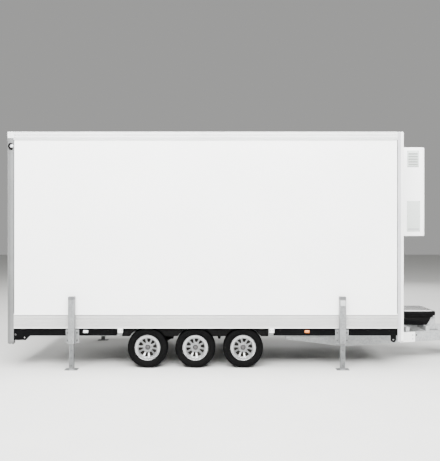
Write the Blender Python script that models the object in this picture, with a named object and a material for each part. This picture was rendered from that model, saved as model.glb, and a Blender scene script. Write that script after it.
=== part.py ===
"""Triple-axle refrigerated box trailer, standing on its wheels, four prop stands and a jockey wheel.

+X points forward along the drawbar, +Y to the left and +Z up. The origin is on the ground under the
middle of the whole length. Sizes are in metres.
"""

import math

import bmesh
import bpy
from mathutils import Matrix, Vector

# Gaps: between pieces that touch, and between pieces that move past each other
GAP = 0.0003
MOVING_GAP = 0.006
RUNNING_GAP = 0.002

# Whole trailer
BODY_LENGTH = 5.268
BODY_WIDTH = 2.25
ROOF_TOP = 3.152
DRAWBAR_REACH = 1.60

# Insulated box
PANEL = 0.060
PANEL_INSET = 0.004
ROOF_PANEL = 0.060
ROOF_DROP = 0.010
FLOOR_TOP = 0.711
FLOOR_THICKNESS = 0.071
FLOOR_DECK = 0.005
POST_LENGTH = 0.080
REAR_POST_BOTTOM = 0.335
FRONT_POST_BOTTOM = 0.355
RAIL_HEIGHT = 0.100
SKIRT_BOTTOM = 0.536
SKIRT_THICKNESS = 0.022
GROOVE_WIDTH = 0.012
GROOVE_DEPTH = 0.005
RAIL_GROOVES = (0.016, 0.058)
SKIRT_GROOVES = (0.042, 0.078, 0.124)
BEARER_HEIGHT = 0.060
BEARER_WIDTH = 0.050
BEARER_COUNT = 10

# Rear frame and doors
SILL_HEIGHT = 0.111
DOOR_RECESS = 0.045
DOOR_THICKNESS = 0.060
DOOR_CENTRE_GAP = 0.012
HINGE_RADIUS = 0.009
HINGE_SETBACK = 0.012
HINGE_EDGE = 0.016
HINGE_HEIGHT = 0.100
HINGE_LUG = 0.040
HINGE_COUNT = 3
LOCK_BAR_RADIUS = 0.0135
LOCK_BAR_STAND = 0.025
LOCK_BAR_PLACES = (0.22, 0.72)
LOCK_BRACKET = 0.050
BUMPER_HEIGHT = 0.140
BUMPER_BOTTOM = 0.360
BUMPER_DEPTH = 0.050

# Chassis
RAIL_TO_TYRE = 0.040
MAIN_RAIL_WIDTH = 0.060
MAIN_RAIL_WALL = 0.008
SIDE_RAIL_BOTTOM = 0.440
SIDE_RAIL_DEPTH = 0.055
SIDE_RAIL_INSET = 0.003
TIE_PLATE = 0.012
REAR_PLATE_BOTTOM = 0.380
REAR_PLATE_LENGTH = 0.160
REAR_PLATE_CHAMFER = 0.070
REAR_RAIL_START = 0.130
LASHING_HOLE = 0.010
STEP_HOLE = 0.016
LUG_PLACE = 0.137
LUG_DROP = 0.052
LUG_RADIUS = 0.036
LUG_HOLE = 0.013

# Wheels
WHEEL_RADIUS = 0.2695
TYRE_WIDTH = 0.195
WHEEL_INSET = 0.030
WHEEL_SPACE = 0.101
MIDDLE_AXLE = 2.494
RIM_SEAT = 0.152
RIM_FLANGE = 0.1705
RIM_WIDTH = 0.140
RIM_WALL = 0.006
HUB_BACK = 0.030
WINDOW_INNER = 0.078
WINDOW_OUTER = 0.122
DRUM_RADIUS = 0.125
ARM_LENGTH = 0.120
ARM_THICKNESS = 0.024
AXLE_TUBE = 0.043
TURNED_STEPS = 30

# Mudguards
ARCH_CLEARANCE = 0.018
MUDGUARD_SHEET = 0.004
MUDGUARD_BOTTOM = 0.430
MUDGUARD_FOOT = 0.046

# Drawbar
BEAM_BOTTOM = 0.250
BEAM_HEIGHT = 0.143
BEAM_WIDTH = 0.060
BEAM_HALF_ANGLE = math.radians(19.0)
BEAM_END = 0.385
BEAM_TAIL = 1.550
BEAM_TAIL_BOTTOM = 0.350
BEAM_NOSE = 0.150
DRAWBAR_PLATE = 0.008
PLATE_LENGTH = 0.520
HOUSING_WIDTH = 0.110
HOUSING_HEIGHT = 0.100
HOUSING_LENGTH = 0.420
HOUSING_FRONT = 0.200
DRAW_TUBE_RADIUS = 0.030
HEAD_LENGTH = 0.140
HEAD_WIDTH = 0.100
BALL_RADIUS = 0.025
LEVER_LENGTH = 0.420
LEVER_THICKNESS = 0.026

# Jockey wheel
JOCKEY_SETBACK = 0.220
JOCKEY_TUBE_RADIUS = 0.030
JOCKEY_TUBE_WALL = 0.0055
JOCKEY_TUBE_BOTTOM = 0.360
JOCKEY_TUBE_TOP = 0.800
JOCKEY_LEG_LENGTH = 0.405
JOCKEY_WHEEL_RADIUS = 0.100
JOCKEY_WHEEL_WIDTH = 0.050
JOCKEY_TRAIL = 0.045
JOCKEY_FORK_WALL = 0.006
JOCKEY_PIN = 0.008

# Prop stands
STAND_REAR = 0.862
STAND_FRONT = 0.823
STAND_TUBE = 0.080
STAND_TUBE_WALL = 0.004
STAND_TUBE_BOTTOM = 0.343
STAND_TUBE_TOP = 0.960
STAND_LEG_WALL = 0.004
STAND_LEG_TOP = 0.610
STAND_FOOT = 0.167
STAND_FOOT_THICKNESS = 0.008
STAND_PLATE = 0.175
STAND_PLATE_BOTTOM = 0.346
STAND_PLATE_THICKNESS = 0.011
STAND_HOLE = 0.008
STAND_HOLE_PITCH = 0.100
STAND_HOLES = 3

# Cooling unit
COOLER_DEPTH = 0.470
COOLER_WIDTH = 1.040
COOLER_BOTTOM = 1.751
COOLER_TOP = 3.020
COOLER_EDGE = 0.030
FAN_RADIUS = 0.200
FAN_RECESS = 0.030
FAN_HEIGHT = 0.800
LOUVRE_LENGTH = 0.170
LOUVRE_HEIGHT = 0.240
LOUVRE_BACK = 0.222
LOUVRE_DROP = 0.044
LOUVRE_RECESS = 0.012

# Storage box on the drawbar
BOX_REAR = 0.130
BOX_FRONT = 0.646
BOX_TAPER_REAR = 0.040
BOX_TAPER_FRONT = 0.077
BOX_HALF_WIDTH = 0.310
BOX_TAPER_SIDE = 0.030
BOX_DEPTH = 0.138
BOX_WALL = 0.006
BOX_FLANGE = 0.018
LID_HEIGHT = 0.071
LID_DOME = 0.014
LID_OVERHANG = 0.035
LID_GAP = 0.007
CARRIER_BAR = 0.050
CARRIER_HEIGHT = 0.069
CARRIER_PLACES = (0.200, 0.520)
GUSSET_THICKNESS = 0.005
GUSSET_SPREAD = 0.270
GUSSET_REACH = 0.700
GUSSET_GAP = 0.008

# Worked out from the sizes above
OVERALL_LENGTH = BODY_LENGTH + DRAWBAR_REACH
REAR_X = -OVERALL_LENGTH / 2
FRONT_X = REAR_X + BODY_LENGTH
NOSE_X = FRONT_X + DRAWBAR_REACH
SIDE_Y = BODY_WIDTH / 2
FRAME_DEPTH = PANEL + PANEL_INSET
INNER_Y = SIDE_Y - FRAME_DEPTH
RAIL_BOTTOM = ROOF_TOP - RAIL_HEIGHT
FLOOR_BOTTOM = FLOOR_TOP - FLOOR_THICKNESS
BEARER_BOTTOM = FLOOR_BOTTOM - BEARER_HEIGHT
PANEL_START = REAR_X + POST_LENGTH + GAP
PANEL_END = FRONT_X - POST_LENGTH - GAP
WHEEL_Y = SIDE_Y - WHEEL_INSET - TYRE_WIDTH / 2
WHEEL_PITCH = 2 * WHEEL_RADIUS + WHEEL_SPACE
BEAM_TOP = BEAM_BOTTOM + BEAM_HEIGHT
MAIN_RAIL_BOTTOM = BEAM_TOP + GAP
MAIN_RAIL_OUTER = WHEEL_Y - TYRE_WIDTH / 2 - RAIL_TO_TYRE
JOCKEY_LEG_RADIUS = JOCKEY_TUBE_RADIUS - JOCKEY_TUBE_WALL - RUNNING_GAP
STAND_LEG = STAND_TUBE - 2 * (STAND_TUBE_WALL + MOVING_GAP)
BOX_BOTTOM = BEAM_TOP + CARRIER_HEIGHT
BOX_RIM = BOX_BOTTOM + BOX_DEPTH
LID_BOTTOM = BOX_RIM + 0.001 + LID_GAP
LID_TOP = LID_BOTTOM + LID_HEIGHT
AXLE_PLACES = {
    "rear": REAR_X + MIDDLE_AXLE - WHEEL_PITCH,
    "middle": REAR_X + MIDDLE_AXLE,
    "front": REAR_X + MIDDLE_AXLE + WHEEL_PITCH,
}
ARCH_RADIUS = WHEEL_RADIUS + ARCH_CLEARANCE
MUDGUARD_REAR = AXLE_PLACES["rear"] - ARCH_RADIUS - MUDGUARD_FOOT
MUDGUARD_FRONT = AXLE_PLACES["front"] + ARCH_RADIUS + MUDGUARD_FOOT
SIDES = {"right": -1, "left": 1}


def material(name, colour, roughness, metallic=0.0):
    made = bpy.data.materials.new(name)
    made.use_nodes = True
    shader = made.node_tree.nodes["Principled BSDF"]
    shader.inputs["Base Color"].default_value = (*colour, 1.0)
    shader.inputs["Roughness"].default_value = roughness
    shader.inputs["Metallic"].default_value = metallic
    made.diffuse_color = (*colour, 1.0)
    return made


def mesh_of(shape):
    """Mesh of a finished shape, with its faces pointing out."""
    bmesh.ops.recalc_face_normals(shape, faces=shape.faces)
    mesh = bpy.data.meshes.new("shape")
    shape.to_mesh(mesh)
    shape.free()
    return mesh


def prism(outline, along, low, high):
    """An outline in the plane across one axis, pushed along that axis from low to high."""
    place = {
        "x": lambda a, b, c: (c, a, b),
        "y": lambda a, b, c: (a, c, b),
        "z": lambda a, b, c: (a, b, c),
    }[along]
    shape = bmesh.new()
    first = [shape.verts.new(place(a, b, low)) for a, b in outline]
    last = [shape.verts.new(place(a, b, high)) for a, b in outline]
    shape.faces.new(first)
    shape.faces.new(last)
    for i in range(len(outline)):
        j = (i + 1) % len(outline)
        shape.faces.new((first[i], first[j], last[j], last[i]))
    return mesh_of(shape)


def box(low, high):
    """A box between two opposite corners."""
    outline = [(low[0], low[1]), (high[0], low[1]), (high[0], high[1]), (low[0], high[1])]
    return prism(outline, "z", low[2], high[2])


def loft(lower, upper):
    """A solid between two rings of as many points each."""
    shape = bmesh.new()
    first = [shape.verts.new(p) for p in lower]
    last = [shape.verts.new(p) for p in upper]
    shape.faces.new(first)
    shape.faces.new(last)
    for i in range(len(lower)):
        j = (i + 1) % len(lower)
        shape.faces.new((first[i], first[j], last[j], last[i]))
    return mesh_of(shape)


def circle(centre, radius, steps, start=0.0, turn=2 * math.pi):
    """Points round a circle, or along a part of it when turn is less than a full one."""
    count = steps if abs(turn) >= 2 * math.pi else steps + 1
    angles = [start + turn * i / steps for i in range(count)]
    return [(centre[0] + radius * math.cos(a), centre[1] + radius * math.sin(a)) for a in angles]


def rod(along, centre, radius, low, high, steps=16):
    """A round bar along an axis, through centre in the plane across it."""
    return prism(circle(centre, radius, steps, math.pi / steps), along, low, high)


def turned(profile, steps, closed):
    """A profile of (radius, distance along Y) points turned about the Y axis.

    A closed profile makes a ring. An open one starts and ends on the axis.
    """
    shape = bmesh.new()
    rings = []
    for radius, along in profile:
        if radius == 0:
            rings.append([shape.verts.new((0, along, 0))] * steps)
            continue
        points = circle((0, 0), radius, steps, math.pi / 2)
        rings.append([shape.verts.new((x, along, z)) for x, z in points])
    pairs = list(zip(rings, rings[1:]))
    if closed:
        pairs.append((rings[-1], rings[0]))
    for ring, following in pairs:
        for i in range(steps):
            j = (i + 1) % steps
            corners = [ring[i], ring[j], following[j], following[i]]
            shape.faces.new(list(dict.fromkeys(corners)))
    return mesh_of(shape)


def moved(mesh, matrix):
    mesh.transform(matrix)
    return mesh


def combine(first, second, operation):
    """First with second joined to it, or cut out of it."""
    base = bpy.data.objects.new("base", first)
    tool = bpy.data.objects.new("tool", second)
    for piece in (base, tool):
        bpy.context.scene.collection.objects.link(piece)
    modifier = base.modifiers.new("Combine", "BOOLEAN")
    modifier.operation = operation
    modifier.object = tool
    graph = bpy.context.evaluated_depsgraph_get()
    result = bpy.data.meshes.new_from_object(base.evaluated_get(graph))
    for piece in (base, tool):
        bpy.data.objects.remove(piece)
    result.materials.clear()
    return result


def joined(first, *others):
    for other in others:
        first = combine(first, other, "UNION")
    return first


def cut(first, *others):
    for other in others:
        first = combine(first, other, "DIFFERENCE")
    return first


def place(name, mesh, look, origin=(0, 0, 0), bevel=0.0):
    """A named piece, with its origin where it turns, slides or sits."""
    mesh = mesh.copy()
    mesh.name = name
    mesh.transform(Matrix.Translation(-Vector(origin)))
    mesh.materials.append(look)
    piece = bpy.data.objects.new(name, mesh)
    piece.location = origin
    bpy.context.scene.collection.objects.link(piece)
    if bevel:
        edge = piece.modifiers.new("Edges", "BEVEL")
        edge.width = bevel
        edge.segments = 1
        edge.limit_method = "ANGLE"
        edge.angle_limit = math.radians(50)
    mesh.shade_smooth()
    mesh.set_sharp_from_angle(angle=math.radians(35))
    return piece


def grooved(side, bottom, top, thickness, grooves):
    """Section across an edge extrusion whose outer face has grooves at heights above its bottom."""
    outer = side * SIDE_Y
    floor = side * (SIDE_Y - GROOVE_DEPTH)
    inner = side * (SIDE_Y - thickness)
    half = GROOVE_WIDTH / 2
    points = [(inner, bottom), (outer, bottom)]
    for height in grooves:
        middle = bottom + height
        points += [
            (outer, middle - half),
            (floor, middle - half / 2),
            (floor, middle + half / 2),
            (outer, middle + half),
        ]
    chamfer = GROOVE_DEPTH * 1.5
    points += [(outer, top - chamfer), (outer - side * chamfer, top), (inner, top)]
    return points


def build_box(looks):
    """The insulated load space: floor, walls, roof, posts, roof rails and skirts."""
    floor_y = SIDE_Y - SKIRT_THICKNESS - GAP
    spacing = (PANEL_END - PANEL_START - BEARER_WIDTH) / (BEARER_COUNT - 1)
    comb = [(PANEL_END, FLOOR_TOP), (PANEL_START, FLOOR_TOP)]
    for i in range(BEARER_COUNT):
        left = PANEL_START + i * spacing
        right = left + BEARER_WIDTH
        if i:
            comb.append((left, FLOOR_BOTTOM))
        comb += [(left, BEARER_BOTTOM), (right, BEARER_BOTTOM)]
        if i < BEARER_COUNT - 1:
            comb.append((right, FLOOR_BOTTOM))
    deck = box(
        (REAR_X + DOOR_RECESS + DOOR_THICKNESS + MOVING_GAP, -INNER_Y + GAP, FLOOR_TOP - 0.001),
        (PANEL_END - 0.001, INNER_Y - GAP, FLOOR_TOP + FLOOR_DECK),
    )
    floor = joined(prism(comb, "y", -floor_y, floor_y), deck)
    place("floor_panel", floor, looks["floor"])

    roof = box(
        (PANEL_START, -INNER_Y + GAP, ROOF_TOP - ROOF_DROP - ROOF_PANEL),
        (PANEL_END, INNER_Y - GAP, ROOF_TOP - ROOF_DROP),
    )
    place("roof_panel", roof, looks["panel"])
    front_y = INNER_Y - GAP
    wall = box(
        (FRONT_X - POST_LENGTH, -front_y, SKIRT_BOTTOM),
        (FRONT_X - PANEL_INSET, front_y, RAIL_BOTTOM - GAP),
    )
    place("front_wall", wall, looks["panel"])
    header = box(
        (FRONT_X - POST_LENGTH, -front_y, RAIL_BOTTOM), (FRONT_X, front_y, ROOF_TOP)
    )
    place("front_header", header, looks["trim"], bevel=0.006)

    for name, side in SIDES.items():
        outer = side * (SIDE_Y - PANEL_INSET)
        wall = box(
            (PANEL_START, min(outer, side * INNER_Y), FLOOR_TOP + GAP),
            (PANEL_END, max(outer, side * INNER_Y), RAIL_BOTTOM - GAP),
        )
        place(f"side_wall_{name}", wall, looks["panel"])
        rail = grooved(side, RAIL_BOTTOM, ROOF_TOP, FRAME_DEPTH, RAIL_GROOVES)
        place(f"roof_rail_{name}", prism(rail, "x", PANEL_START, PANEL_END), looks["trim"])
        skirt = grooved(side, SKIRT_BOTTOM, FLOOR_TOP, SKIRT_THICKNESS, SKIRT_GROOVES)
        place(f"skirt_{name}", prism(skirt, "x", PANEL_START, PANEL_END), looks["skirt"])
        post = box(
            (FRONT_X - POST_LENGTH, min(side * SIDE_Y, side * INNER_Y), FRONT_POST_BOTTOM),
            (FRONT_X, max(side * SIDE_Y, side * INNER_Y), ROOF_TOP),
        )
        place(f"front_post_{name}", post, looks["trim"], bevel=0.008)


def hinge_heights():
    low, high = FLOOR_TOP + 0.2, RAIL_BOTTOM - 0.2
    return [low + (high - low) * i / (HINGE_COUNT - 1) for i in range(HINGE_COUNT)]


def build_rear(looks):
    """The welded rear frame, the light bar between its feet, and two doors that meet in the middle."""
    sill_bottom = FLOOR_TOP - SILL_HEIGHT
    outline = [
        (-SIDE_Y, REAR_POST_BOTTOM),
        (-INNER_Y, REAR_POST_BOTTOM),
        (-INNER_Y, sill_bottom),
        (INNER_Y, sill_bottom),
        (INNER_Y, REAR_POST_BOTTOM),
        (SIDE_Y, REAR_POST_BOTTOM),
        (SIDE_Y, ROOF_TOP),
        (-SIDE_Y, ROOF_TOP),
    ]
    frame = prism(outline, "x", REAR_X, REAR_X + POST_LENGTH)
    doorway = box(
        (REAR_X - 0.1, -INNER_Y, FLOOR_TOP), (REAR_X + POST_LENGTH + 0.1, INNER_Y, RAIL_BOTTOM)
    )
    frame = cut(frame, doorway)
    pin_x = REAR_X + HINGE_SETBACK
    reach = HINGE_HEIGHT / 2 + RUNNING_GAP
    for side in SIDES.values():
        pin_y = side * (INNER_Y - HINGE_EDGE)
        for height in hinge_heights():
            for low in (height + reach, height - reach - HINGE_LUG):
                knuckle = joined(
                    rod("z", (pin_x, pin_y), HINGE_RADIUS, low, low + HINGE_LUG, 8),
                    box(
                        (pin_x - HINGE_RADIUS / 2, min(pin_y, side * (INNER_Y + 0.005)), low + 0.001),
                        (
                            pin_x + HINGE_RADIUS / 2,
                            max(pin_y, side * (INNER_Y + 0.005)),
                            low + HINGE_LUG - 0.001,
                        ),
                    ),
                )
                frame = joined(frame, knuckle)
    place("rear_frame", frame, looks["post"])

    bumper = box(
        (REAR_X + 0.005, -INNER_Y + GAP, BUMPER_BOTTOM),
        (REAR_X + 0.005 + BUMPER_DEPTH, INNER_Y - GAP, BUMPER_BOTTOM + BUMPER_HEIGHT),
    )
    place("light_bar", bumper, looks["galvanised"], bevel=0.006)

    face_x = REAR_X + DOOR_RECESS
    low_z, high_z = FLOOR_TOP + MOVING_GAP, RAIL_BOTTOM - MOVING_GAP
    for name, side in SIDES.items():
        edge_y = side * (INNER_Y - MOVING_GAP)
        free_y = side * DOOR_CENTRE_GAP / 2
        pin_y = side * (INNER_Y - HINGE_EDGE)
        door = box(
            (face_x, min(edge_y, free_y), low_z),
            (face_x + DOOR_THICKNESS, max(edge_y, free_y), high_z),
        )
        for height in hinge_heights():
            low = height - HINGE_HEIGHT / 2
            leaf = box(
                (pin_x, min(pin_y, pin_y - side * 0.010), low + 0.001),
                (face_x + 0.005, max(pin_y, pin_y - side * 0.010), low + HINGE_HEIGHT - 0.001),
            )
            barrel = rod("z", (pin_x, pin_y), HINGE_RADIUS, low, low + HINGE_HEIGHT, 8)
            door = joined(door, joined(barrel, leaf))
        bar_x = face_x - LOCK_BAR_STAND
        for share in LOCK_BAR_PLACES:
            bar_y = free_y + (edge_y - free_y) * share
            door = joined(door, lock_bar(bar_x, bar_y, face_x, low_z, high_z))
        place(f"rear_door_{name}", door, looks["panel"], origin=(pin_x, pin_y, FLOOR_TOP))


def lock_bar(bar_x, bar_y, face_x, low_z, high_z):
    """A locking bar that stands off its door on brackets, with a handle bracket low down."""
    bar = rod("z", (bar_x, bar_y), LOCK_BAR_RADIUS, low_z + 0.004, high_z - 0.004, 8)
    half = LOCK_BRACKET / 2
    height = high_z - low_z
    for share in (0.02, 0.35, 0.65, 0.98):
        middle = low_z + height * share
        middle = min(max(middle, low_z + half + 0.006), high_z - half - 0.006)
        bracket = box(
            (bar_x - LOCK_BAR_RADIUS / 2, bar_y - half / 1.5, middle - half),
            (face_x + 0.004, bar_y + half / 1.5, middle + half),
        )
        bar = joined(bar, bracket)
    return bar


def build_chassis(looks):
    """Main rails, the outer side rails with their tie-down plates, and the three rubber axles."""
    top = BEARER_BOTTOM - GAP
    rail_y = SIDE_Y - SIDE_RAIL_INSET
    plate_y = SIDE_Y - SIDE_RAIL_INSET / 6
    for name, side in SIDES.items():
        outer = side * MAIN_RAIL_OUTER
        inner = side * (MAIN_RAIL_OUTER - MAIN_RAIL_WIDTH)
        web = side * (MAIN_RAIL_OUTER - MAIN_RAIL_WALL)
        channel = [
            (outer, MAIN_RAIL_BOTTOM),
            (outer, top),
            (inner, top),
            (inner, top - MAIN_RAIL_WALL),
            (web, top - MAIN_RAIL_WALL),
            (web, MAIN_RAIL_BOTTOM + MAIN_RAIL_WALL),
            (inner, MAIN_RAIL_BOTTOM + MAIN_RAIL_WALL),
            (inner, MAIN_RAIL_BOTTOM),
        ]
        place(f"main_rail_{name}", prism(channel, "x", PANEL_START, PANEL_END), looks["galvanised"])

        rail_top = SKIRT_BOTTOM - GAP
        rail_low = (side * (rail_y - SIDE_RAIL_DEPTH), side * rail_y)
        plate_low = (side * (plate_y - TIE_PLATE), side * plate_y)
        rail = box(
            (REAR_X + REAR_RAIL_START, min(rail_low), SIDE_RAIL_BOTTOM),
            (MUDGUARD_REAR - REAR_PLATE_CHAMFER, max(rail_low), rail_top),
        )
        plate_start = REAR_X + POST_LENGTH + GAP
        plate_end = plate_start + REAR_PLATE_LENGTH
        corner = [
            (plate_start, REAR_PLATE_BOTTOM),
            (plate_end, REAR_PLATE_BOTTOM),
            (plate_end + REAR_PLATE_CHAMFER, REAR_PLATE_BOTTOM + REAR_PLATE_CHAMFER),
            (plate_end + REAR_PLATE_CHAMFER, rail_top - 0.002),
            (plate_start, rail_top - 0.002),
        ]
        rail = joined(rail, prism(corner, "y", min(plate_low), max(plate_low)))
        hole_low, hole_high = min(plate_low) - 0.1, max(plate_low) + 0.1
        step = (plate_start + 0.018, SIDE_RAIL_BOTTOM + 0.014)
        lashing = (plate_end - LASHING_HOLE * 1.7, REAR_PLATE_BOTTOM + 0.034)
        rail = cut(
            rail,
            rod("y", step, STEP_HOLE, hole_low, hole_high, 12),
            rod("y", lashing, LASHING_HOLE, hole_low, hole_high, 12),
        )
        place(f"side_rail_rear_{name}", rail, looks["black"])

        rail = box(
            (MUDGUARD_FRONT + REAR_PLATE_CHAMFER, min(rail_low), SIDE_RAIL_BOTTOM),
            (PANEL_END, max(rail_low), rail_top),
        )
        eye = (FRONT_X - LUG_PLACE, SIDE_RAIL_BOTTOM - LUG_DROP)
        lug = joined(
            box(
                (eye[0] - LUG_RADIUS, min(plate_low), eye[1]),
                (eye[0] + LUG_RADIUS, max(plate_low), SIDE_RAIL_BOTTOM + 0.020),
            ),
            rod("y", eye, LUG_RADIUS + 0.001, min(plate_low) - 0.001, max(plate_low), 20),
        )
        rail = cut(joined(rail, lug), rod("y", eye, LUG_HOLE, hole_low, hole_high, 12))
        place(f"side_rail_front_{name}", rail, looks["black"])

    arm_y = (MAIN_RAIL_OUTER + MOVING_GAP, MAIN_RAIL_OUTER + MOVING_GAP + ARM_THICKNESS)
    tube_z = MAIN_RAIL_BOTTOM - GAP - AXLE_TUBE * math.cos(math.pi / 6)
    drum_in = WHEEL_Y - TYRE_WIDTH / 2 - 0.004
    drum_out = WHEEL_Y + HUB_BACK - MOVING_GAP
    for name, wheel_x in AXLE_PLACES.items():
        tube_x = wheel_x + ARM_LENGTH
        hexagon = circle((tube_x, tube_z), AXLE_TUBE, 6)
        axle = prism(hexagon, "y", -arm_y[0] - 0.004, arm_y[0] + 0.004)
        for side in SIDES.values():
            arm = arm_outline((tube_x, tube_z), (wheel_x, WHEEL_RADIUS))
            low, high = sorted((side * arm_y[0], side * arm_y[1]))
            axle = joined(axle, prism(arm, "y", low, high))
            low, high = sorted((side * drum_in, side * drum_out))
            drum = rod("y", (wheel_x, WHEEL_RADIUS), DRUM_RADIUS, low, high, 24)
            low, high = sorted((side * (arm_y[1] - 0.003), side * (drum_in + 0.003)))
            boss = rod("y", (wheel_x, WHEEL_RADIUS), AXLE_TUBE - 0.004, low, high, 16)
            axle = joined(axle, joined(drum, boss))
        place(f"axle_{name}", axle, looks["dark_steel"], origin=(wheel_x, 0, WHEEL_RADIUS))


def arm_outline(pivot, hub):
    """A trailing arm seen from the side: two round ends joined by straight edges."""
    slope = math.atan2(pivot[1] - hub[1], pivot[0] - hub[0])
    first = circle(pivot, AXLE_TUBE + 0.003, 8, slope - math.pi / 2, math.pi)
    second = circle(hub, AXLE_TUBE, 8, slope + math.pi / 2, math.pi)
    return first + second


def tyre_mesh():
    """A low-profile tyre on its bead seats, closed across the rim."""
    seat, flange = RIM_SEAT + GAP, RIM_WIDTH / 2 - GAP
    wall = TYRE_WIDTH / 2
    tread = wall * 0.60
    section = WHEEL_RADIUS - RIM_FLANGE
    side = [
        (seat, flange),
        (RIM_FLANGE + GAP, flange),
        (RIM_FLANGE + section * 0.28, wall * 0.98),
        (WHEEL_RADIUS - section * 0.30, wall),
        (WHEEL_RADIUS - 0.008, wall * 0.84),
        (WHEEL_RADIUS, tread),
    ]
    profile = side + [(radius, -along) for radius, along in reversed(side)]
    return turned(profile, TURNED_STEPS, True)


def rim_mesh():
    """An alloy rim with a stepped lip, a dished face with ten windows, and a centre cap.

    The outer face points along +Y.
    """
    half = RIM_WIDTH / 2
    flange = half + 0.008
    barrel = WINDOW_OUTER + 0.010
    profile = [
        (0, HUB_BACK),
        (barrel, HUB_BACK),
        (barrel, -0.030),
        (RIM_SEAT - RIM_WALL, -half),
        (RIM_FLANGE - RIM_WALL, -flange),
        (RIM_FLANGE, -flange),
        (RIM_FLANGE, -half),
        (RIM_SEAT, -half),
        (RIM_SEAT, half),
        (RIM_FLANGE, half),
        (RIM_FLANGE, flange),
        (RIM_FLANGE - 0.024, flange - 0.011),
        (WINDOW_OUTER + 0.006, flange - 0.013),
        (0.058, HUB_BACK + 0.022),
        (0.036, HUB_BACK + 0.026),
        (0, HUB_BACK + 0.038),
    ]
    rim = turned(profile, TURNED_STEPS, False)
    for i in range(10):
        angle = math.radians(26 + 36 * i)
        wide = i % 2 == 0
        inner_half = math.radians(7 if wide else 4)
        outer_half = math.radians(11.5 if wide else 8.5)
        inner = WINDOW_INNER if not wide else WINDOW_INNER - 0.008
        outline = []
        for radius, half_angle in ((inner, inner_half), (WINDOW_OUTER, outer_half)):
            ends = (-1, 1) if radius == inner else (1, -1)
            for end in ends:
                a = angle + end * half_angle
                outline.append((radius * math.cos(a), radius * math.sin(a)))
        rim = cut(rim, prism(outline, "y", 0.0, 0.120))
    return rim


def build_wheels(looks):
    tyre, rim = tyre_mesh(), rim_mesh()
    turn = Matrix.Rotation(math.pi, 4, "Z")
    for axle, wheel_x in AXLE_PLACES.items():
        for name, side in SIDES.items():
            centre = (wheel_x, side * WHEEL_Y, WHEEL_RADIUS)
            for piece, mesh in (("tyre", tyre), ("rim", rim)):
                placed = mesh.copy()
                if side < 0:
                    placed.transform(turn)
                placed.transform(Matrix.Translation(centre))
                place(f"{piece}_{axle}_{name}", placed, looks[piece], origin=centre)


def arches(radius, low):
    """An edge along the wheels from the rear to the front: round over each wheel and flat between."""
    points = []
    for wheel_x in AXLE_PLACES.values():
        reach = math.asin((low - WHEEL_RADIUS) / radius)
        start = math.pi - reach
        points += circle((wheel_x, WHEEL_RADIUS), radius, 14, start, -(math.pi - 2 * reach))
    return points


def build_mudguards(looks):
    """A sheet that follows the wheels, with an upright web on its outer side up to the bearers."""
    low, top = MUDGUARD_BOTTOM, BEARER_BOTTOM - GAP
    under = [(MUDGUARD_REAR, low)] + arches(ARCH_RADIUS, low) + [(MUDGUARD_FRONT, low)]
    over = arches(ARCH_RADIUS + MUDGUARD_SHEET, low + MUDGUARD_SHEET)
    over = [(MUDGUARD_REAR, low + MUDGUARD_SHEET)] + over
    over.append((MUDGUARD_FRONT, low + MUDGUARD_SHEET))
    sheet = under + over[::-1]
    web = [(MUDGUARD_REAR - 0.001, low - 0.001)] + arches(ARCH_RADIUS - 0.001, low - 0.001)
    web += [(MUDGUARD_FRONT + 0.001, low - 0.001)]
    web += [(MUDGUARD_FRONT + 0.001, top), (MUDGUARD_REAR - 0.001, top)]
    outer = SIDE_Y - SKIRT_THICKNESS - 0.003
    for name, side in SIDES.items():
        web_y = sorted((side * (outer - 0.006), side * outer))
        sheet_y = sorted((side * (WHEEL_Y - TYRE_WIDTH / 2 - 0.005), side * (outer - 0.003)))
        guard = joined(prism(web, "y", *web_y), prism(sheet, "y", *sheet_y))
        place(f"mudguard_{name}", guard, looks["black_plastic"])


def beam_line(side):
    """Middle line of a drawbar beam: along under the main rail, then in towards the coupling."""
    outer = side * (MAIN_RAIL_OUTER - BEAM_WIDTH / 2)
    inner = side * BEAM_NOSE
    bend = NOSE_X - BEAM_END - abs(outer - inner) / math.tan(BEAM_HALF_ANGLE)
    return [(FRONT_X - BEAM_TAIL, outer), (bend, outer), (NOSE_X - BEAM_END, inner)]


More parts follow.
